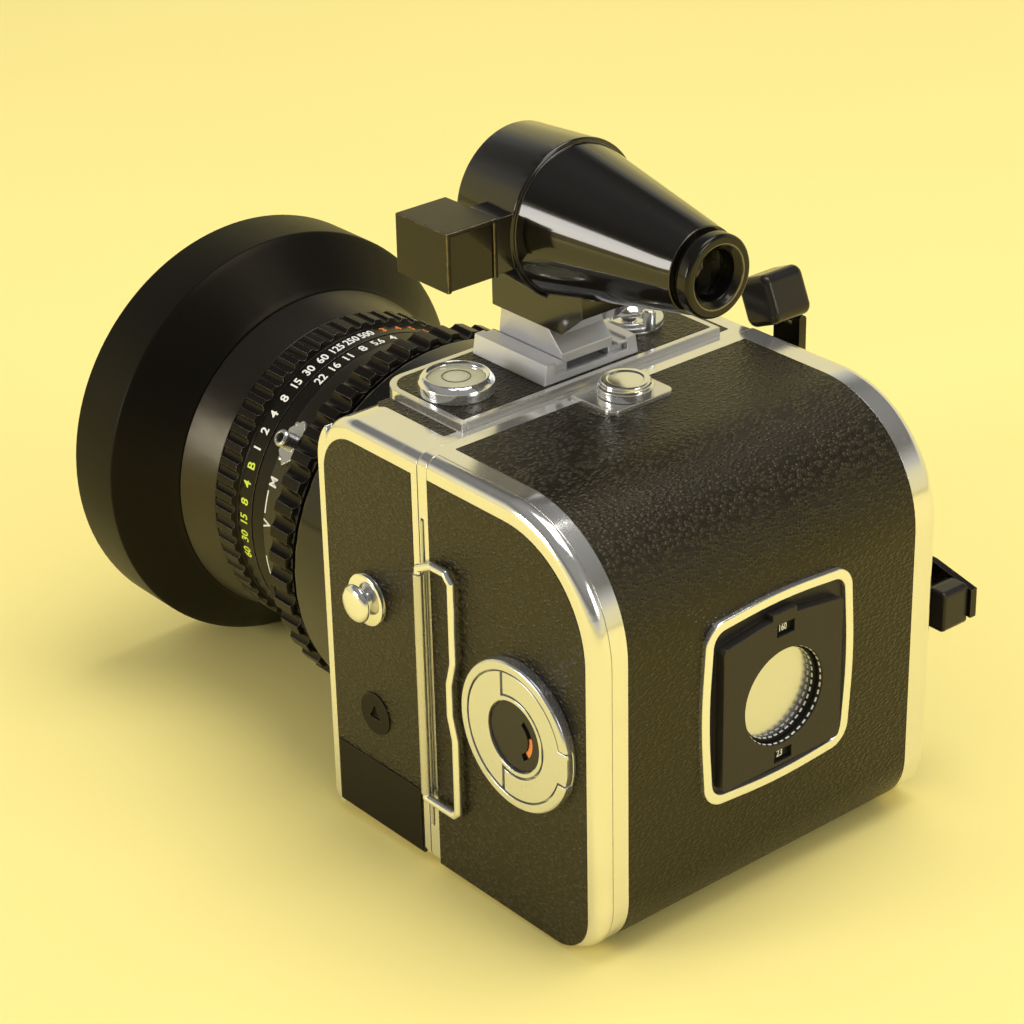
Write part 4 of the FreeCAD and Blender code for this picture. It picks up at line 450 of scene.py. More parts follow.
@dataclass(frozen=True)
class Leather(Finish):
    """Black covering with a pressed grain of small bumps or short strokes, crests lighter from rubbing and
    creases darkened as painted shade.
    """

    colour: Colour = (0.006, 0.005, 0.004, 1.0)
    crest: Colour = (0.022, 0.018, 0.011, 1.0)
    roughness: float = 0.3
    pitch: float = 0.95
    depth: float = 0.16
    wander: float = 0.3
    turn: Triple = (0.0, 0.0, 0.0)
    stretch: Triple = (1.0, 1.0, 1.0)
    wander_scale: float = 520.0
    fine_scale: float = 3600.0
    broad_scale: float = 60.0
    cell_blur: float = 0.2
    cell_band: Pair = (0.10, 0.62)

    def paint(self, graph: Graph) -> None:
        """Fill the material's graph."""
        place = graph.mapped(self.turn, self.stretch)
        inputs = {"Vector": place, "Scale": self.wander_scale, "Detail": 2.0}
        drift = graph.wire("TexNoise", {}, inputs, "Color")
        inputs = {0: drift, 1: (self.wander * MM,) * 3, 2: place}
        shifted = graph.wire("VectorMath", {"operation": "MULTIPLY_ADD"}, inputs)
        cells = graph.cells(1.0 / MM / self.pitch, shifted, self.cell_blur)
        pebbles = 1.0 - graph.band(cells, *self.cell_band)
        fine = graph.noise(self.fine_scale, 4.0)
        broad = graph.noise(self.broad_scale, 3.0)
        # Painted shade: the creases between the pebbles keep the dark colour and the crests take the lighter
        # crest colour, partly worn by rubbing and partly painted light.
        tone_mix = (pebbles * (0.25 + broad * 0.5) + (fine - 0.5) * 0.4).clamped()
        uneven = (broad - 0.5) * 0.14 - pebbles * 0.08 + (fine - 0.5) * 0.2
        graph.shade(
            Base_Color=graph.blend(tone_mix, self.colour, self.crest),
            Roughness=(self.roughness + uneven).clamped(),
            Specular_IOR_Level=0.4,
            Specular_Tint=WARM_SHEEN,
            Normal=graph.bump(pebbles * 0.6 + fine * 0.4, self.depth, 1.0),
        )


@dataclass(frozen=True)
class Plastic(Finish):
    """Moulded plastic with a faint texture."""

    colour: Colour = (0.014, 0.013, 0.013, 1.0)
    roughness: float = 0.35
    texture: float = 900.0
    depth: float = 0.01
    edge: float = 0.35
    smudge_scale: float = 110.0
    bloom: float = 1.7

    def paint(self, graph: Graph) -> None:
        """Fill the material's graph."""
        fine = graph.noise(self.texture, 3.0, self.grain(graph))
        smudge = graph.noise(self.smudge_scale, 4.0)
        lighter = toned(self.colour, self.bloom, 0.01)
        graph.shade(
            Base_Color=graph.blend((smudge * 0.5).clamped(), self.colour, lighter),
            Specular_IOR_Level=0.35,
            Specular_Tint=WARM_SHEEN,
            Roughness=(self.roughness + (smudge - 0.5) * 0.16 + (fine - 0.5) * 0.1).clamped(),
            Normal=graph.bump(fine, self.depth, 0.6, graph.soft_edge(self.edge)),
        )


@dataclass(frozen=True)
class Glass(Finish):
    """Clear glass with faint dust; a darkened glass paints the shade behind it."""

    colour: Colour = (0.9, 0.92, 0.9, 1.0)
    roughness: float = 0.02
    coat_colour: Colour = (0.80, 0.78, 0.85, 1.0)
    dust_scale: float = 1600.0
    dust_band: Pair = (0.66, 0.8)
    haze_scale: float = 60.0

    def paint(self, graph: Graph) -> None:
        """Fill the material's graph."""
        dust = graph.band(graph.noise(self.dust_scale, 3.0), *self.dust_band)
        haze = graph.noise(self.haze_scale, 3.0)
        graph.shade(
            Base_Color=graph.blend(haze * 0.3, self.colour, toned(self.colour, 0.9)),
            Roughness=(self.roughness + dust * 0.25 + haze * 0.02).clamped(),
            Transmission_Weight=1.0,
            IOR=1.5,
            Coat_Weight=0.4,
            Coat_Roughness=0.02,
            Coat_Tint=self.coat_colour,
        )


@dataclass(frozen=True)
class Marking(Finish):
    """Engraved and paint-filled marks."""

    colour: Colour = (0.75, 0.75, 0.70, 1.0)
    rub_scale: float = 1500.0
    rub_band: Pair = (0.60, 0.80)

    def paint(self, graph: Graph) -> None:
        """Fill the material's graph."""
        # Patches where the fill is worn thin by rubbing, darker in tone.
        tone_mix = graph.band(graph.noise(self.rub_scale, 3.0), *self.rub_band)
        graph.shade(
            Base_Color=graph.blend(tone_mix * 0.6, self.colour, toned(self.colour, 0.55)),
            Roughness=(0.45 + tone_mix * 0.2).clamped(),
            Normal=graph.bump(tone_mix, 0.01, 0.5),
        )


LEVEL_AXIS = (22.5, -15.0)
RELEASE_AXIS = (-24.0, -16.5)
CATCH_AXIS = (-1.4, 7.4)
KEY_AXIS = (29.4, 43.2)
DIAL_AXIS = (0.0, 44.1)
FINDER_AXIS = (-3.0, 122.3)
STUD_AXIS = (-16.5, 53.3)
CRANK_AXIS = (-14.0, 66.0)

POLISHED = Metal(
    "polished_aluminium", roughness=0.13, colour=(0.86, 0.85, 0.82, 1.0), marks=0.5, stain=0.25)
PLATE = Metal(
    "brushed_top_plate", Pattern.BRUSHED_X, roughness=0.22, colour=(0.80, 0.79, 0.76, 1.0), marks=0.6)
FINDER_SHOE = Metal(
    "frosted_shoe", roughness=0.38, colour=(0.62, 0.62, 0.65, 1.0), marks=0.7, mark_depth=0.008, stain=0.06,
    metallic=0.65)
STEEL = Metal("brushed_steel", Pattern.BRUSHED_Z, roughness=0.26, colour=(0.62, 0.61, 0.59, 1.0), marks=0.6)
BRASS = Metal("gear_brass", Pattern.TURNED_X, CRANK_AXIS, (0.72, 0.53, 0.24, 1.0), 0.3, marks=0.5)
WHITE_PAINT = Marking("white_fill", colour=(0.78, 0.78, 0.74, 1.0))
GREEN_PAINT = Marking("yellow_green_fill", colour=(0.62, 0.75, 0.06, 1.0))
ORANGE_PAINT = Marking("orange_fill", colour=(0.85, 0.22, 0.04, 1.0))
FLAG_PAINT = Marking("film_flag_orange", colour=(0.80, 0.24, 0.06, 1.0))
BUBBLE = Plastic("bubble_pale", colour=(0.70, 0.66, 0.48, 1.0), roughness=0.05, depth=0.001, edge=0.05)
# Black print of the level's circle and of the sight cards, and also the painted shade on the wall of the
# dial's well.
BLACK_PRINT_AND_SHADE = Paint("black_fill", colour=(0.008, 0.008, 0.008, 1.0), roughness=0.5, wear=0.0, edge=0.05)
FRONT_GRAIN = Leather(
    "leather_front_grain", pitch=0.9, depth=0.24, turn=(0.0, 35.0, 0.0), stretch=(0.62, 1.0, 1.25))
TOP_GRAIN = Leather(
    "leather_top_grain", pitch=0.9, depth=0.2, wander=0.15, stretch=(0.75, 1.25, 1.25),
    colour=(0.007, 0.006, 0.004, 1.0), crest=(0.024, 0.019, 0.011, 1.0))
SIDE_GRAIN = Leather(
    "leather_side_grain", pitch=0.8, depth=0.2, wander=0.15, turn=(35.0, 0.0, 0.0), stretch=(1.0, 0.62, 1.25))


def chrome(name: str, pattern: Pattern, axis: Pair, roughness: float = 0.09) -> Metal:
    """Return bright plating turned about an axis."""
    return Metal(name, pattern, axis, (0.88, 0.88, 0.87, 1.0), roughness, 0.06, 0.6, 0.0015, 0.15, 0.15)


def satin(name: str, pattern: Pattern, axis: Pair) -> Metal:
    """Return matt plating turned about an axis."""
    return Metal(name, pattern, axis, (0.73, 0.74, 0.76, 1.0), 0.2, 0.06, 0.35, 0.0015, 0.2, 0.05)


def lens_black(name: str, roughness: float, wear: float = 0.2, shine: float = 0.16) -> Paint:
    """Return the satin black of a turned lens part."""
    return Paint(
        name, Pattern.TURNED_Y, (0.0, LENS_Z), (0.006, 0.005, 0.0045, 1.0), roughness, 0.0, 0.0025, 0.2, wear,
        (0.45, 0.44, 0.42, 1.0), shine=shine)


STUD_CHROME = chrome("stud_chrome", Pattern.TURNED_X, STUD_AXIS, 0.12)
NODE_FINISHES: dict[str, Finish] = {
    "body_shell": POLISHED,
    "magazine_shell": POLISHED,
    "holder_plate": POLISHED,
    "catch_plate": PLATE,
    "top_plate": PLATE,
    "body_side_leathers": SIDE_GRAIN,
    "front_plate": POLISHED,
    "top_leathers": TOP_GRAIN,
    "magazine_leathers": TOP_GRAIN,
    "holder_leather": SIDE_GRAIN,
    "level_housing": chrome("level_chrome", Pattern.TURNED_Z, LEVEL_AXIS),
    "accessory_shoe": FINDER_SHOE,
    "finder_foot": FINDER_SHOE,
    "release_lock_lever": satin("lock_chrome", Pattern.TURNED_Z, RELEASE_AXIS),
    "release_collar": chrome("collar_chrome", Pattern.TURNED_Z, RELEASE_AXIS),
    "shutter_release": chrome("release_chrome", Pattern.TURNED_Z, RELEASE_AXIS),
    "magazine_release": chrome("catch_chrome", Pattern.TURNED_Z, CATCH_AXIS, 0.14),
    "holder_key": satin("key_satin", Pattern.TURNED_X, KEY_AXIS),
    "key_flap": satin("flap_satin", Pattern.TURNED_X, KEY_AXIS),
    "strap_studs": STUD_CHROME,
    "sync_socket": Metal("socket_steel", roughness=0.24, colour=(0.50, 0.50, 0.49, 1.0), marks=0.4),
    "window_frame": chrome("window_chrome", Pattern.CAST, DIAL_AXIS, 0.12),
    "memo_dial": satin("dial_silver", Pattern.TURNED_Y, DIAL_AXIS),
    "base_foot": STEEL,
    "magazine_hooks": STEEL,
    "shutter_blades": Metal("blade_steel", Pattern.TURNED_Y, colour=(0.2, 0.2, 0.2, 1.0), roughness=0.35),
    "film_gate": Metal("gate_steel", Pattern.BRUSHED_Z, roughness=0.28, colour=(0.55, 0.55, 0.54, 1.0)),
    "darkslide": STEEL,
    "darkslide_bail": chrome("bail_chrome", Pattern.CAST, KEY_AXIS, 0.14),
    "side_plug": Paint("plug_black", Pattern.TURNED_X, (-16.3, 27.0), roughness=0.42, wear=0.25),
    "name_plate": Paint("plate_black", roughness=0.38, wear=0.15, peel=0.006),
    "shutter_housing": lens_black("housing_black", 0.30, shine=0.5),
    "front_barrel": lens_black("barrel_black", 0.31, 0.1, 0.5),
    "speed_ring": lens_black("speed_black", 0.26, 0.45),
    "aperture_ring": lens_black("aperture_black", 0.34),
    "sync_lever": lens_black("sync_black", 0.36, 0.4),
    "focus_ring": lens_black("focus_black", 0.25, 0.45),
    "lens_flange": Paint("flange_gloss", Pattern.TURNED_Y, roughness=0.2, coat=0.6, wear=0.1, peel=0.0015),
    "helicoid_tube": lens_black("helicoid_black", 0.5),
    "lens_shade": Paint(
        "shade_black", Pattern.TURNED_Y, colour=(0.004, 0.0035, 0.003, 1.0), roughness=0.38, wear=0.3,
        peel=0.002, shine=0.11),
    "eyepiece_ring": Paint(
        "eyepiece_black", Pattern.TURNED_Y, FINDER_AXIS, roughness=0.25, coat=0.4, wear=0.4, peel=0.002),
    "finder_housing": Paint(
        "finder_gloss", Pattern.TURNED_Y, FINDER_AXIS, roughness=0.2, coat=1.0, wear=0.4, peel=0.001),
    "mirror_box": Paint("mirror_box_black", roughness=0.3, wear=0.95, peel=0.006, edge=0.35, shine=0.4),
    "winding_crank": Paint("crank_black", Pattern.TURNED_X, CRANK_AXIS, roughness=0.28, coat=0.4, wear=0.3),
    "magazine_crank": Paint("magazine_crank_black", roughness=0.28, coat=0.4, wear=0.3),
    "film_carrier": Paint("carrier_black", roughness=0.6, wear=0.2),
    "pressure_plate": Paint("pressure_black", roughness=0.55, wear=0.1),
    "memo_plate": Plastic("memo_black", roughness=0.36, texture=2100.0, depth=0.09, edge=0.1),
    "feed_spool": Plastic("spool_plastic", roughness=0.5),
    "takeup_spool": Plastic("takeup_plastic", roughness=0.5),
    "film_window_disc": Plastic("disc_black", Pattern.TURNED_X, KEY_AXIS, roughness=0.3, edge=0.1),
    "crank_paddle": Plastic("knob_black", roughness=0.16, depth=0.004, edge=0.5),
    "magazine_crank_handle": Plastic("grip_black", roughness=0.18, depth=0.004, edge=0.5),
    "winding_gear": BRASS,
    "cocking_gear": BRASS,
    "magazine_gear": BRASS,
    "level_vial": Plastic(
        "vial_fluid", colour=(0.62, 0.58, 0.40, 1.0), roughness=0.06, depth=0.001, edge=0.05),
    "lens_elements": Glass("lens_glass"),
    # Painted shade: the finder glass is darkened grey so that the finder's inside reads as dark.
    "finder_lenses": Glass("finder_glass", colour=(0.35, 0.34, 0.32, 1.0)),
    # Painted shade: the glass prism is an opaque dark gloss that stands for the dark inside of the mirror
    # box.
    "level_prism": Paint("prism_dark", roughness=0.05, coat=0.35, wear=0.0, edge=0.05, shine=0.25),
}


ROUNDINGS: dict[float, str] = {
    0.02: "darkslide_bail",
    0.04: "darkslide",
    0.05: "level_vial",
    0.06: "release_collar",
    0.08: "release_lock_lever aperture_ring",
    0.1: "sync_socket memo_dial side_plug name_plate helicoid_tube",
    0.12: "catch_plate level_housing accessory_shoe magazine_release holder_key key_flap memo_plate",
    0.15: "finder_foot magazine_hooks shutter_housing speed_ring sync_lever",
    0.2: "top_plate shutter_release front_barrel focus_ring",
    0.25: "body_shell magazine_shell holder_plate base_foot eyepiece_ring front_plate",
    0.3: "window_frame finder_housing mirror_box winding_crank magazine_crank crank_paddle "
         "magazine_crank_handle",
    0.5: "lens_flange",
    0.8: "lens_shade",
}
EDGE_WIDTHS = {name: width for width, names in ROUNDINGS.items() for name in names.split()}
TURNED_COPIES: dict[str, float] = {"sync_socket": -2.6}


def deselect() -> None:
    """Leave edit mode and select nothing."""
    if bpy.context.object is not None and bpy.context.object.mode != "OBJECT":
        bpy.ops.object.mode_set(mode="OBJECT")
    bpy.ops.object.select_all(action="DESELECT")


def only(piece: Piece) -> None:
    """Make one object the only selected and active one."""
    deselect()
    piece.select_set(True)
    bpy.context.view_layer.objects.active = piece


def apply_place() -> None:
    """Move the selected object's place, turn and size into its mesh."""
    bpy.ops.object.transform_apply(location=True, rotation=True, scale=True)


def select_whole() -> None:
    """Select the whole mesh that is edited."""
    bpy.ops.mesh.select_all(action="SELECT")


def edit_all() -> None:
    """Enter edit mode with the whole mesh selected."""
    bpy.ops.object.mode_set(mode="EDIT")
    select_whole()


def close_mesh(threshold: float = 1e-7) -> None:
    """Merge vertices nearer than a threshold in metres, face all outwards and leave edit mode."""
    select_whole()
    bpy.ops.mesh.remove_doubles(threshold=threshold)
    bpy.ops.mesh.normals_make_consistent(inside=False)
    bpy.ops.object.mode_set(mode="OBJECT")


def about_lens(angle: float) -> Matrix:
    """Return the turn about the lens axis by an angle in degrees."""
    centre = Matrix.Translation(Vector((0, 0, LENS_Z)) * MM)
    return centre @ Matrix.Rotation(math.radians(angle), 4, "Y") @ centre.inverted()


def merged_copy(node: Piece, name: str, swing: float = 0.0) -> Piece:
    """Copy a CAD node and merge the triangles of its flat faces.

    Args:
        node: The CAD node, which is left as it is.
        name: Name of the copy.
        swing: Turn about the lens axis in degrees.

    Returns:
        The copy.
    """
    deselect()
    piece = bpy.data.objects.new(name, node.data.copy())
    bpy.context.scene.collection.objects.link(piece)
    only(piece)
    if swing:
        piece.matrix_world = about_lens(swing)
        apply_place()
    edit_all()
    bpy.ops.mesh.remove_doubles(threshold=MERGE_METRES)
    bpy.ops.mesh.dissolve_limited(angle_limit=math.radians(FLAT_DEGREES))
    bpy.ops.object.mode_set(mode="OBJECT")
    return piece


def pick_faces(piece: Piece, wanted: Callable[[Vector, Vector], bool]) -> None:
    """Select the faces of a piece in edit mode.

    Args:
        piece: Mesh object at the origin.
        wanted: Test of a face's centre in millimetres and its normal.
    """
    if piece.mode != "OBJECT":
        bpy.ops.object.mode_set(mode="OBJECT")
    for edge in piece.data.edges:
        edge.select = False
    for vertex in piece.data.vertices:
        vertex.select = False
    for face in piece.data.polygons:
        face.select = wanted(face.center / MM, face.normal)
    bpy.context.tool_settings.mesh_select_mode = (False, False, True)
    bpy.ops.object.mode_set(mode="EDIT")


def settle(
        piece: Piece, name: str, body: str, finish: Finish, smooth: float = 35.0) -> None:
    """Bring a modelled piece to its finished state.

    Args:
        piece: The object, at any place.
        name: Its name.
        body: Body that it rides on.
        finish: Its finish.
        smooth: Angle in degrees under which faces shade smoothly.
    """
    only(piece)
    if piece.type != "MESH":
        bpy.ops.object.convert(target="MESH")
        piece = bpy.context.object
    apply_place()
    piece.name = name
    piece.data.name = name
    bpy.ops.object.shade_smooth_by_angle(angle=math.radians(smooth))
    piece.data.materials.clear()
    piece.data.materials.append(finish.material())
    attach(piece, body)
    LOG.info("piece %s rides on %s, %d faces", name, body, len(piece.data.polygons))


def lettering(word: str, height: float, place: Matrix, weight: float = 0.0, thick: float = 0.16) -> Piece:
    """Add a number or a single letter as a thin raised mesh.

    Args:
        word: What is written, plain numbers or single letters.
        height: Height of a figure in millimetres.
        place: Its right, up and outward directions as columns, and its middle in millimetres.
        weight: How much the strokes are fattened, in millimetres.
        thick: Thickness in millimetres, half of it above the middle.

    Returns:
        The mesh object.
    """
    deselect()
    bpy.ops.object.text_add()
    text = bpy.context.object
    text.data.body = word
    text.data.align_x = "CENTER"
    text.data.align_y = "CENTER"
    text.data.size = height / FIGURE_SHARE * MM
    text.data.extrude = thick / 2 * MM
    text.data.offset = weight * MM
    text.data.resolution_u = 4
    narrowed = max(1.0 - NARROWER * len(word), NARROWEST)
    matrix = place @ Matrix.Diagonal((narrowed, 1.0, 1.0, 1.0))
    matrix.translation = place.translation * MM
    text.matrix_world = matrix
    bpy.ops.object.convert(target="MESH")
    return bpy.context.object


def gather(pieces: Sequence[Piece]) -> Piece:
    """Join several mesh objects into one and return it."""
    deselect()
    for piece in pieces:
        piece.select_set(True)
    bpy.context.view_layer.objects.active = pieces[0]
    bpy.ops.object.join()
    return bpy.context.object


def on_barrel(angle: float, along: float, radius: float) -> Matrix:
    """Return where a figure stands on the lens barrel.

    Args:
        angle: Degrees from the top towards the camera's left side.
        along: Place along the lens axis in millimetres.
        radius: Radius in millimetres.

    Returns:
        Right, up and outward directions with the place, so that it reads from behind the camera.
    """
    turn = math.radians(angle)
    outward = Vector((math.sin(turn), 0, math.cos(turn)))
    up = Vector((0, -1, 0))
    right = up.cross(outward)
    matrix = Matrix((right, up, outward)).transposed().to_4x4()
    matrix.translation = Vector((0, along, LENS_Z)) + outward * radius
    return matrix


def spun_bar(section: Matrix, steps: int, sweep: float, centre: Vector, axis: Vector) -> Piece:
    """Spin a small rectangle about an axis.

    Args:
        section: What lays the unit square where the bar begins, in metres.
        steps: Number of segments.
        sweep: How far it runs, in degrees.
        centre: A point on the axis in millimetres.
        axis: Direction of the axis.

    Returns:
        The mesh object.
    """
    deselect()
    bpy.ops.mesh.primitive_plane_add(size=1.0)
    bar = bpy.context.object
    bar.matrix_world = section
    apply_place()
    edit_all()
    bpy.ops.mesh.spin(steps=steps, angle=math.radians(sweep), center=tuple(centre * MM), axis=tuple(axis))
    close_mesh()
    return bar


def arc_strip(start: float, sweep: float, along: float, radius: float) -> Piece:
    """Lay a thin line round the lens barrel.

    Args:
        start: Where it begins, in degrees from the top.
        sweep: How far it runs, in degrees.
        along: Its middle along the lens axis in millimetres.
        radius: Radius of its middle in millimetres.

    Returns:
        The mesh object.
    """
    place = on_barrel(start, along, radius)
    right, up, outward = (place.col[index].xyz for index in range(3))
    sides = (outward * LINE_THICKNESS * MM, up * LINE_WIDTH * MM, right)
    section = Matrix(sides).transposed().to_4x4()
    section.translation = place.translation * MM
    return spun_bar(section, max(2, int(sweep / 2)), -sweep, Vector((0, 0, LENS_Z)), Vector((0, 1, 0)))


def lathe(axis: str, centre: Pair, profile: Sequence[Pair], sides: int = 72) -> Piece:
    """Turn a half section about an axis.

    Args:
        axis: X, Y or Z.
        centre: The axis's place in the two other directions, in millimetres.
        profile: Pairs of radius and place along the axis, in millimetres.
        sides: Number of sides.

    Returns:
        The turned mesh object.
    """
    deselect()
    place = "XYZ".index(axis)
    along = Vector([float(index == place) for index in range(3)])
    others = [index for index in range(3) if index != place]
    origin = Vector((0.0, 0.0, 0.0))
    origin[others[0]], origin[others[1]] = centre
    outward = Vector([float(index == others[0]) for index in range(3)])
    points = [origin + outward * radius + along * height for radius, height in profile]
    bpy.ops.mesh.primitive_plane_add(size=MM, location=points[0] * MM)
    piece = bpy.context.object
    apply_place()
    edit_all()
    bpy.ops.mesh.select_mode(type="VERT")
    select_whole()
    bpy.ops.mesh.merge(type="CENTER")
    for earlier, later in zip(points, points[1:]):
        bpy.ops.mesh.extrude_vertices_move(TRANSFORM_OT_translate={"value": tuple((later - earlier) * MM)})
    select_whole()
    bpy.ops.mesh.spin(steps=sides, angle=math.tau, center=tuple(origin * MM), axis=tuple(along))
    close_mesh(1e-6)
    return piece


def modified(piece: Piece, kind: str, **settings: Union[float, str, Piece]) -> Piece:
    """Add a modifier and apply it.

    Args:
        piece: The mesh object.
        kind: Type of the modifier.
        settings: Its settings by name.

    Returns:
        The same object.
    """
    only(piece)
    bpy.ops.object.modifier_add(type=kind)
    modifier = piece.modifiers[-1]
    for name, value in settings.items():
        setattr(modifier, name, value)
    bpy.ops.object.modifier_apply(modifier=modifier.name)
    return piece


def bevelled(piece: Piece, width: float, limit: float = 30.0) -> Piece:
    """Round the sharp edges of a piece.

    Args:
        piece: The mesh object.
        width: Width of the rounding in millimetres.
        limit: Least turn of a sharp edge in degrees.

    Returns:
        The same object.
    """
    turn = math.radians(limit)
    return modified(piece, "BEVEL", width=width * MM, segments=2, limit_method="ANGLE", angle_limit=turn)


@dataclass
class StrapStuds:
    """The two studs that a strap hooks on: base, saucer and domed head."""

    left: Pair = STUD_AXIS
    right: Pair = (-22.0, 16.0)
    length: float = 4.8
    steps: tuple[Pair, ...] = (
        (0.0, 0.0), (5.2, 0.0), (5.2, 0.3), (4.0, 0.45), (3.7, 0.9), (5.45, 1.0), (5.45, 1.25), (4.6, 1.45),
        (2.5, 1.75), (2.2, 2.3), (2.4, 2.75), (3.85, 2.95), (4.0, 3.2), (3.95, 3.6), (3.6, 4.1), (2.8, 4.5),
        (1.5, 4.72), (0.0, 4.8),
    )

    def build(self) -> None:
        """Turn both studs."""
        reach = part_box("strap_studs")[1][0] / MM
        studs = []
        for centre, side in ((self.left, 1.0), (self.right, -1.0)):
            profile = [(radius, side * (reach - self.length + along)) for radius, along in self.steps]
            studs.append(bevelled(lathe("X", centre, profile), 0.06))
        piece = gather(studs)
        settle(piece, "strap_studs_turned", "camera_body", STUD_CHROME, 40.0)
        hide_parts("strap_studs")


@dataclass
class LevelMarks:
    """Circle and bubble under the level's glass."""

    circle: float = 2.75
    line: float = 0.12
    bubble: float = 2.1
    below: float = 0.05
    above: float = 0.02
    dome: tuple[Pair, ...] = ((1.0, -0.1), (1.0, 0.0), (0.93, 0.04), (0.0, 0.05))

    def build(self) -> None:
        """Lay the circle and the bubble on the vial."""
        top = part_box("level_vial")[1][2] / MM
        low, high = top - self.below, top + self.above
        inner, outer = self.circle, self.circle + self.line
        profile = ((inner, low), (outer, low), (outer, high), (inner, high), (inner, low))
        ring = lathe("Z", LEVEL_AXIS, profile)
        settle(ring, "level_circle", "camera_body", BLACK_PRINT_AND_SHADE)
        dome = lathe("Z", LEVEL_AXIS, [(self.bubble * share, top + lift) for share, lift in self.dome])
        settle(dome, "level_bubble", "camera_body", BUBBLE)


@dataclass
class FilmWindow:
    """The key's black disc with its curved slot, and the film flag in the slot."""

    radius: float = 7.1
    edge: float = 0.15
    slot_radius: float = 4.25
    slot_width: float = 1.35
    slot_depth: float = 0.7
    slot_top: float = 60.0
    slot_sweep: float = 122.0
    flag_fit: float = 0.94
    flag_top: float = 13.0
    flag_sweep: float = 58.0
    flag_depths: Pair = (0.75, 0.35)

    def arc(self, width: float, start: float, sweep: float, low: float, high: float) -> Piece:
        """Add a curved bar about the key's axis, on the slot's middle line.

        Args:
            width: Width in millimetres.
            start: Angle from the camera's rear towards the top, in degrees, where it begins.
            sweep: How far it runs downwards, in degrees.
            low: Inner end along X in millimetres.
            high: Outer end along X in millimetres.

        Returns:
            The mesh object.
        """
        turn = math.radians(start)
        outward = Vector((0, math.cos(turn), math.sin(turn)))
        along = Vector((1, 0, 0))
        centre = Vector(((low + high) / 2, *KEY_AXIS))
        sides = (along * (high - low) * MM, outward * width * MM, along.cross(outward))
        section = Matrix(sides).transposed().to_4x4()
        section.translation = (centre + outward * self.slot_radius) * MM
        return spun_bar(section, max(4, int(sweep / 4)), sweep, Vector((0, *KEY_AXIS)), along)

    def build(self) -> None:
        """Make the disc and the flag."""
        low, high = (corner[0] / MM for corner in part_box("film_window_disc"))
        rim, edge = self.radius, self.edge
        profile = ((0.0, low), (rim, low), (rim, high - edge), (rim - edge, high), (0.0, high))
        blank = lathe("X", KEY_AXIS, profile)
        floor, above = high - self.slot_depth, high + 1.0
        cutter = self.arc(self.slot_width, self.slot_top, self.slot_sweep, floor, above)
        modified(blank, "BOOLEAN", operation="DIFFERENCE", solver="EXACT", object=cutter)
        only(cutter)
        bpy.ops.object.delete()
        settle(blank, "film_window_disc_turned", "key", NODE_FINISHES["film_window_disc"])
        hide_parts("film_window_disc")
        inner, outer = (high - depth for depth in self.flag_depths)
        flag = self.arc(self.slot_width * self.flag_fit, self.flag_top, self.flag_sweep, inner, outer)
        settle(flag, "film_flag", "key", FLAG_PAINT)


@dataclass
class BackDial:
    """Black lining on the wall of the film dial's well as painted shade, tick marks of the well, and the
    cards with figures in its two sights.
    """

    card: Triple = (4.4, 0.25, 2.4)
    card_edge: float = 0.04
    card_face: float = 52.9
    wall: tuple[Pair, ...] = (
        (9.58, 51.02), (9.58, 52.25), (10.12, 52.25), (10.12, 52.2), (9.66, 52.2), (9.66, 51.02),
        (9.58, 51.02))
    rings: tuple[Pair, ...] = ((9.54, 51.55), (10.2, 53.15))
    ticks: int = 40
    tick: Triple = (0.14, 0.9, 0.36)
    tick_edge: float = 0.03
    figure: float = 1.5
    stroke: float = 0.03
    raised: float = 0.1
    nudge: float = 0.2
    figures: tuple[tuple[str, float], ...] = (("160", 14.8), ("23", -12.9))

    def ring(self, radius: float, along: float) -> Piece:
        """Set one row of ticks on the wall of the well.

        Args:
            radius: Radius in millimetres.
            along: Place along Y in millimetres.

        Returns:
            The mesh object.
        """
        width, length, height = self.tick
        tick = self.block(Vector((DIAL_AXIS[0], along, DIAL_AXIS[1] + radius)), (length, height, width))
        edit_all()
        bpy.ops.mesh.bevel(offset=self.tick_edge * MM, segments=1, affect="EDGES")
        select_whole()
        centre = (DIAL_AXIS[0] * MM, 0, DIAL_AXIS[1] * MM)
        bpy.ops.mesh.spin(steps=self.ticks, angle=math.tau, dupli=True, axis=(0, 1, 0), center=centre)
        select_whole()
        bpy.ops.mesh.remove_doubles(threshold=1e-6)
        bpy.ops.object.mode_set(mode="OBJECT")
        return tick

    @staticmethod
    def block(middle: Vector, size: Triple) -> Piece:
        """Return a new block with its middle and size in millimetres."""
        deselect()
        bpy.ops.mesh.primitive_cube_add(size=1.0, location=middle * MM)
        bpy.context.object.scale = Vector(size) * MM
        apply_place()
        return bpy.context.object

    def build(self) -> None:
        """Make the black wall lining as painted shade, the ticks, the cards and the figures."""
        # Painted shade: a thin black sleeve over the dial's inner wall, which lies in the shade of the well.
        settle(lathe("Y", DIAL_AXIS, self.wall, 96), "dial_wall", "film_dial", BLACK_PRINT_AND_SHADE)
        settle(self.ring(*self.rings[0]), "dial_ticks", "film_dial", WHITE_PAINT)
        settle(self.ring(*self.rings[1]), "well_ticks", "magazine", WHITE_PAINT)
        facing = Matrix(((-1, 0, 0), (0, 0, 1), (0, 1, 0))).transposed().to_4x4()
        figures = []
        cards = []
        for word, above in self.figures:
            front = Vector((DIAL_AXIS[0], self.card_face, DIAL_AXIS[1] + above))
            middle = front - Vector((0, self.card[1] / 2, 0))
            cards.append(bevelled(self.block(middle, self.card), self.card_edge))
            place = facing.copy()
            place.translation = front + Vector((self.nudge, 0, 0))
            figures.append(lettering(word, self.figure, place, self.stroke, self.raised))
        settle(gather(cards), "sight_cards", "magazine", BLACK_PRINT_AND_SHADE)
        settle(gather(figures), "sight_figures", "magazine", WHITE_PAINT)


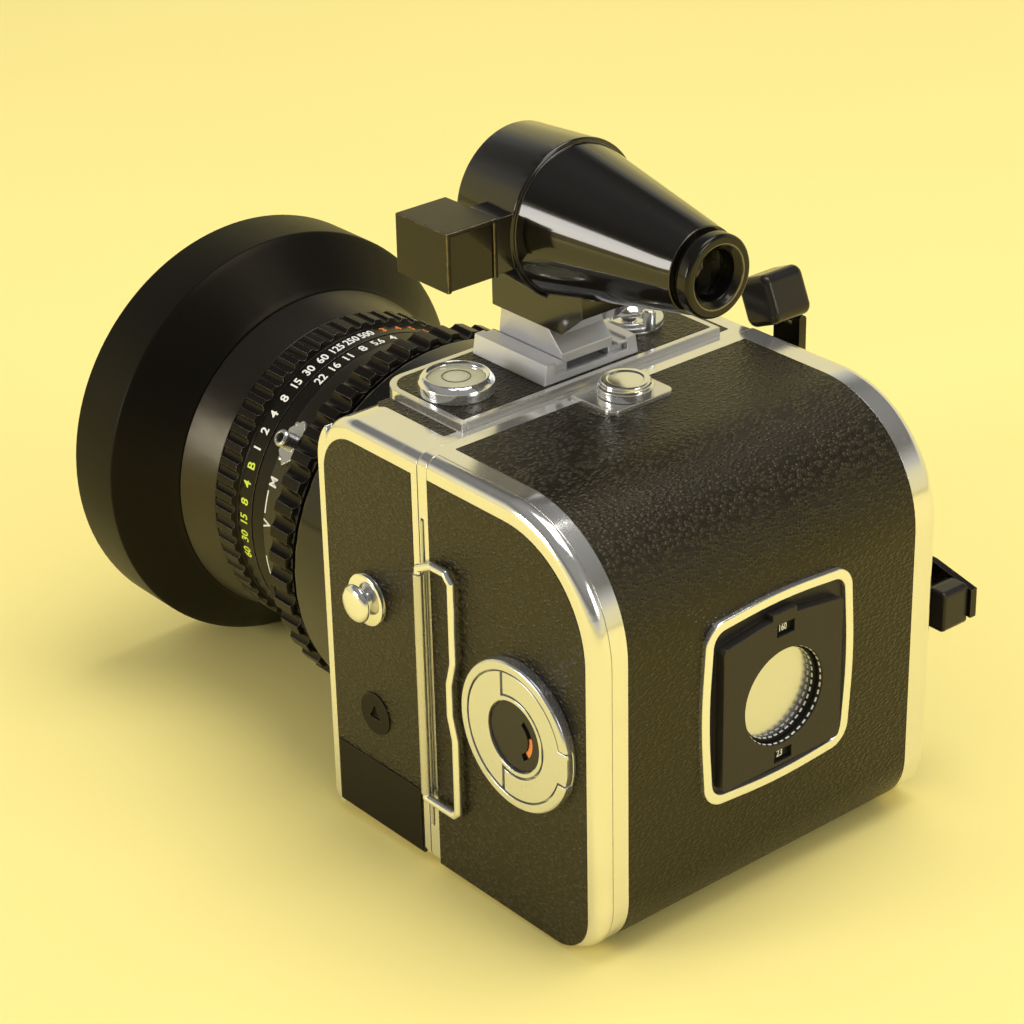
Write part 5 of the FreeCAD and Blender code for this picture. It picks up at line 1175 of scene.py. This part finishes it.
@dataclass
class FrontCovering:
    """Leather sheet on the front plate, inside a bare metal border."""

    border: float = 1.2
    thickness: float = 0.12

    def build(self, plate: Piece) -> None:
        """Lift the sheet off a copy of the plate's front face."""
        sheet = merged_copy(plate, "front_sheet")
        pick_faces(sheet, lambda centre, normal: normal.y > -0.9)
        bpy.ops.mesh.delete(type="FACE")
        select_whole()
        bpy.ops.mesh.inset(thickness=self.border * MM, use_boundary=True)
        bpy.ops.mesh.select_all(action="INVERT")
        bpy.ops.mesh.delete(type="FACE")
        select_whole()
        bpy.ops.mesh.extrude_region_move(TRANSFORM_OT_translate={"value": (0, -self.thickness * MM, 0)})
        select_whole()
        bpy.ops.mesh.normals_make_consistent(inside=False)
        bpy.ops.object.mode_set(mode="OBJECT")
        settle(sheet, "front_covering", "camera_body", FRONT_GRAIN)


@dataclass
class TerminalRivets:
    """Two rivets in the plate of the flash terminal."""

    places: tuple[Pair, ...] = ((45.9, -65.3), (58.9, -65.3))
    radius: float = 0.5
    lift: float = 35.2
    dome: tuple[Pair, ...] = ((0.0, 0.0), (1.0, 0.0), (0.9, 0.3), (0.0, 0.42))

    def build(self) -> None:
        """Turn a rivet, and set it at both places."""
        top = LENS_Z + self.lift
        profile = [(self.radius * share, top + height) for share, height in self.dome]
        rivets = []
        for angle, along in self.places:
            rivet = lathe("Z", (0.0, along), profile, 24)
            rivet.matrix_world = about_lens(angle)
            rivets.append(rivet)
        settle(gather(rivets), "terminal_rivets", "lens_unit", STEEL)


@dataclass(frozen=True)
class Scale:
    """One row of figures round the lens barrel."""

    name: str
    body: str
    paint: Marking
    words: tuple[str, ...]
    first: float
    along: float
    step: float = -FIGURE_STEP
    height: float = FIGURE_HEIGHT
    weight: float = 0.05
    radius: float = BARREL_RADIUS

    def build(self) -> None:
        """Write the figures, the first at an angle in degrees from the top and each a step further."""
        figures = []
        for index, word in enumerate(self.words):
            place = on_barrel(self.first + index * self.step, self.along, self.radius)
            figures.append(lettering(word, self.height, place, self.weight))
        settle(gather(figures), self.name, self.body, self.paint)


@dataclass
class LensMarks:
    """Figures and lines on the lens rings."""

    speed_band: float = -73.7
    speed_first: float = 59.8
    aperture_band: float = -69.0
    aperture_first: float = 27.5
    aperture_radius: float = 34.6
    letter_band: float = -65.4
    line_band: float = -66.5
    speeds: tuple[str, ...] = ("1", "2", "4", "8", "15", "30", "60", "125", "250", "500")
    long_speeds: tuple[str, ...] = ("B", "4", "8", "15", "30", "60")
    light_values: tuple[str, ...] = tuple(str(value) for value in range(3, 19))
    apertures: tuple[str, ...] = ("22", "16", "11", "8", "5.6", "4")

    def sync_marks(self) -> None:
        """Write the letters of the sync lever with their arcs."""
        pieces = [
            lettering("M", FIGURE_HEIGHT, on_barrel(67.7, self.letter_band, BARREL_RADIUS), 0.05),
            lettering("V", FIGURE_HEIGHT, on_barrel(83.2, self.letter_band, BARREL_RADIUS), 0.05),
            arc_strip(71.2, 8.4, self.line_band, BARREL_RADIUS),
            arc_strip(96.2, 8.8, self.line_band, BARREL_RADIUS),
        ]
        settle(gather(pieces), "sync_marks", "lens_unit", WHITE_PAINT)

    def build(self) -> None:
        """Make all marks: speeds, long speeds, light values, apertures and the lever's letters."""
        first, step, band = self.speed_first, FIGURE_STEP, self.speed_band
        values_first = first - len(self.speeds) * step - 1.0
        Scale("speed_figures", "speeds", WHITE_PAINT, self.speeds, first, band, weight=0.06).build()
        Scale("long_speed_figures", "speeds", GREEN_PAINT, self.long_speeds, first + step, band, step).build()
        Scale("light_value_figures", "speeds", ORANGE_PAINT, self.light_values, values_first, band,
              height=FIGURE_HEIGHT * 0.85).build()
        Scale("aperture_figures", "apertures", WHITE_PAINT, self.apertures, self.aperture_first,
              self.aperture_band, radius=self.aperture_radius).build()
        self.sync_marks()


@dataclass
class Studio:
    """Pale yellow paper floor, soft lamps and the camera; sheet, eye, aim and lamps are in metres."""

    paper: Colour = (0.93, 0.80, 0.29, 1.0)
    sheet: float = 9.0
    fibre_scale: float = 900.0
    mottle_scale: float = 6.0
    tilt: float = 0.0265
    shade_front: float = -120.1
    shade_low: float = -4.25
    eye: Triple = (0.3446, 0.3908, 0.3304)
    right: Triple = (-0.7640, 0.6448, -0.0203)
    up: Triple = (-0.3080, -0.3370, 0.8897)
    back: Triple = (0.5669, 0.6860, 0.4561)
    focal: float = 103.17
    sensor: float = 36.0
    clip: Pair = (0.01, 30.0)
    world_level: float = 0.64
    paper_level: float = 1.2
    air_colour: Colour = (1.0, 0.97, 0.88, 1.0)
    walls: tuple[tuple[float, Colour], ...] = (
        (0.12, (0.90, 0.78, 0.31, 1.0)),
        (0.47, (0.80, 0.72, 0.42, 1.0)),
        (0.58, (0.46, 0.45, 0.42, 1.0)),
        (0.72, (0.06, 0.057, 0.052, 1.0)),
        (1.00, (0.20, 0.20, 0.20, 1.0)),
    )
    dark_side: Triple = (0.16, 0.19, 1.0)
    dark_lift: float = 0.22
    aim: Triple = (0.0, -0.02, 0.05)
    lamps: tuple[tuple[str, Triple, float, float, Colour], ...] = (
        ("overhead_box", (-0.25, 0.10, 1.35), 0.8, 9.6, (1.0, 0.98, 0.94, 1.0)),
        ("left_box", (1.25, -0.55, 0.38), 0.46, 7.0, (1.0, 0.98, 0.95, 1.0)),
        ("rear_box", (-0.35, 1.45, 0.80), 0.6, 5.8, (1.0, 0.99, 0.97, 1.0)),
    )

    def floor(self) -> None:
        """Lay the paper, tilted so that the camera rests on its shade and its magazine."""
        deselect()
        place = (0, self.shade_front * MM, self.shade_low * MM)
        turn = (math.atan(self.tilt), 0, 0)
        bpy.ops.mesh.primitive_plane_add(size=self.sheet, location=place, rotation=turn)
        paper = bpy.context.object
        apply_place()
        paper.name = "paper_floor"
        graph = Graph("paper")
        fibres = graph.noise(self.fibre_scale, 4.0)
        broad = graph.noise(self.mottle_scale, 2.0)
        mottled = (broad * 0.6 + fibres * 0.3).clamped()
        graph.shade(
            Base_Color=graph.blend(mottled, self.paper, toned(self.paper, 0.93)),
            Roughness=0.9,
            Specular_IOR_Level=0.1,
            Normal=graph.bump(fibres, 0.02, 0.3),
        )
        paper.data.materials.append(graph.material)

    def lights(self) -> None:
        """Hang the soft lamps and set the world."""
        for name, place, size, power, colour in self.lamps:
            deselect()
            bpy.ops.object.light_add(type="AREA", location=place)
            lamp = bpy.context.object
            lamp.name = name
            lamp.data.shape = "SQUARE"
            lamp.data.size = size
            lamp.data.energy = power
            lamp.data.color = colour[:3]
            lamp.rotation_euler = (Vector(place) - Vector(self.aim)).to_track_quat("Z", "Y").to_euler()
        self.air()

    def air(self) -> None:
        """Set the world: even light for matt surfaces, paper and soft walls for shiny and clear ones."""
        world = bpy.data.worlds.new("studio_air")
        bpy.context.scene.world = world
        world.use_nodes = True
        air = NodeTree(world.node_tree)
        rays = air.add("LightPath", {}, {})
        kinds = ("Is Glossy Ray", "Is Transmission Ray", "Is Camera Ray")
        reflected, through, seen = (Wire(air, rays.outputs[kind]) for kind in kinds)
        settings = {"operation": "ADD", "use_clamp": True}
        glassy = air.wire("Math", settings, {0: reflected, 1: through})
        direction = air.wire("TexCoord", {}, {}, "Generated")
        inputs = {0: direction, 1: self.dark_side}
        lean = air.wire("VectorMath", {"operation": "DOT_PRODUCT"}, inputs, "Value")
        walls = air.wire("ValToRGB", {"stops": self.walls}, {0: lean + self.dark_lift})
        grounds = ((self.air_colour, self.world_level), (walls, 1.0), (self.paper, self.paper_level))
        soft, mirrored, ground = (
            air.wire("Background", {}, {"Color": colour, "Strength": strength})
            for colour, strength in grounds)
        unseen = air.wire("MixShader", {}, {0: glassy, 1: soft, 2: mirrored})
        whole = air.wire("MixShader", {}, {0: seen, 1: unseen, 2: ground})
        air.add("OutputWorld", {}, {"Surface": whole})

    def camera(self) -> None:
        """Place the camera at the photograph's viewing angle."""
        deselect()
        bpy.ops.object.camera_add()
        camera = bpy.context.object
        camera.name = "viewpoint"
        turned = Matrix((self.right, self.up, self.back)).transposed().to_4x4()
        turned.translation = Vector(self.eye)
        camera.matrix_world = turned
        camera.data.sensor_width = self.sensor
        camera.data.sensor_fit = "HORIZONTAL"
        camera.data.lens = self.focal
        camera.data.clip_start, camera.data.clip_end = self.clip
        bpy.context.scene.camera = camera

    def build(self) -> None:
        """Make the whole studio."""
        self.floor()
        self.lights()
        self.camera()
        bpy.context.scene.view_settings.view_transform = "Standard"


def smoothed(node: Piece, width: float, body: str) -> None:
    """Show a CAD node as a copy with merged triangles, rounded edges and smooth curved faces.

    Its large faces decide the shading, so that the rounded edges don't streak them.

    Args:
        node: The CAD node, which is left as it is.
        width: Rounding of its sharp edges in millimetres.
        body: Body that it rides on.
    """
    piece = merged_copy(node, node.name + "_shaped", TURNED_COPIES.get(node.name, 0.0))
    bevelled(piece, width, 38.0)
    settle(piece, node.name + "_shaped", body, NODE_FINISHES[node.name])
    modified(piece, "WEIGHTED_NORMAL", weight=50, keep_sharp=True)
    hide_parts(node.name)


def dress(nodes: dict, record: dict) -> None:
    """Give every CAD node its finish, as it is or as a smoothed copy.

    Args:
        nodes: The frame's CAD nodes by name.
        record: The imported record, which names each node's body and slot.
    """
    for body, names in record["behaviour"]["bodies"].items():
        for name in names:
            if name in EDGE_WIDTHS:
                smoothed(nodes[name], EDGE_WIDTHS[name], body)
    for name, node in nodes.items():
        finish = NODE_FINISHES[name]
        material = finish.material()
        for slot in node.material_slots:
            slot.material = material
        if not node.material_slots:
            node.data.materials.append(material)
        LOG.info("node %s wears %s", name, finish.name)


def main() -> None:
    """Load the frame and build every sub-assembly in order."""
    logging.basicConfig(level=logging.INFO, format="%(message)s")
    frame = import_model()
    dress(frame["nodes"], frame["record"])
    Studio().build()
    LensMarks().build()
    StrapStuds().build()
    LevelMarks().build()
    FilmWindow().build()
    TerminalRivets().build()
    BackDial().build()
    FrontCovering().build(frame["nodes"]["front_plate"])


if __name__ == "__main__":
    main()
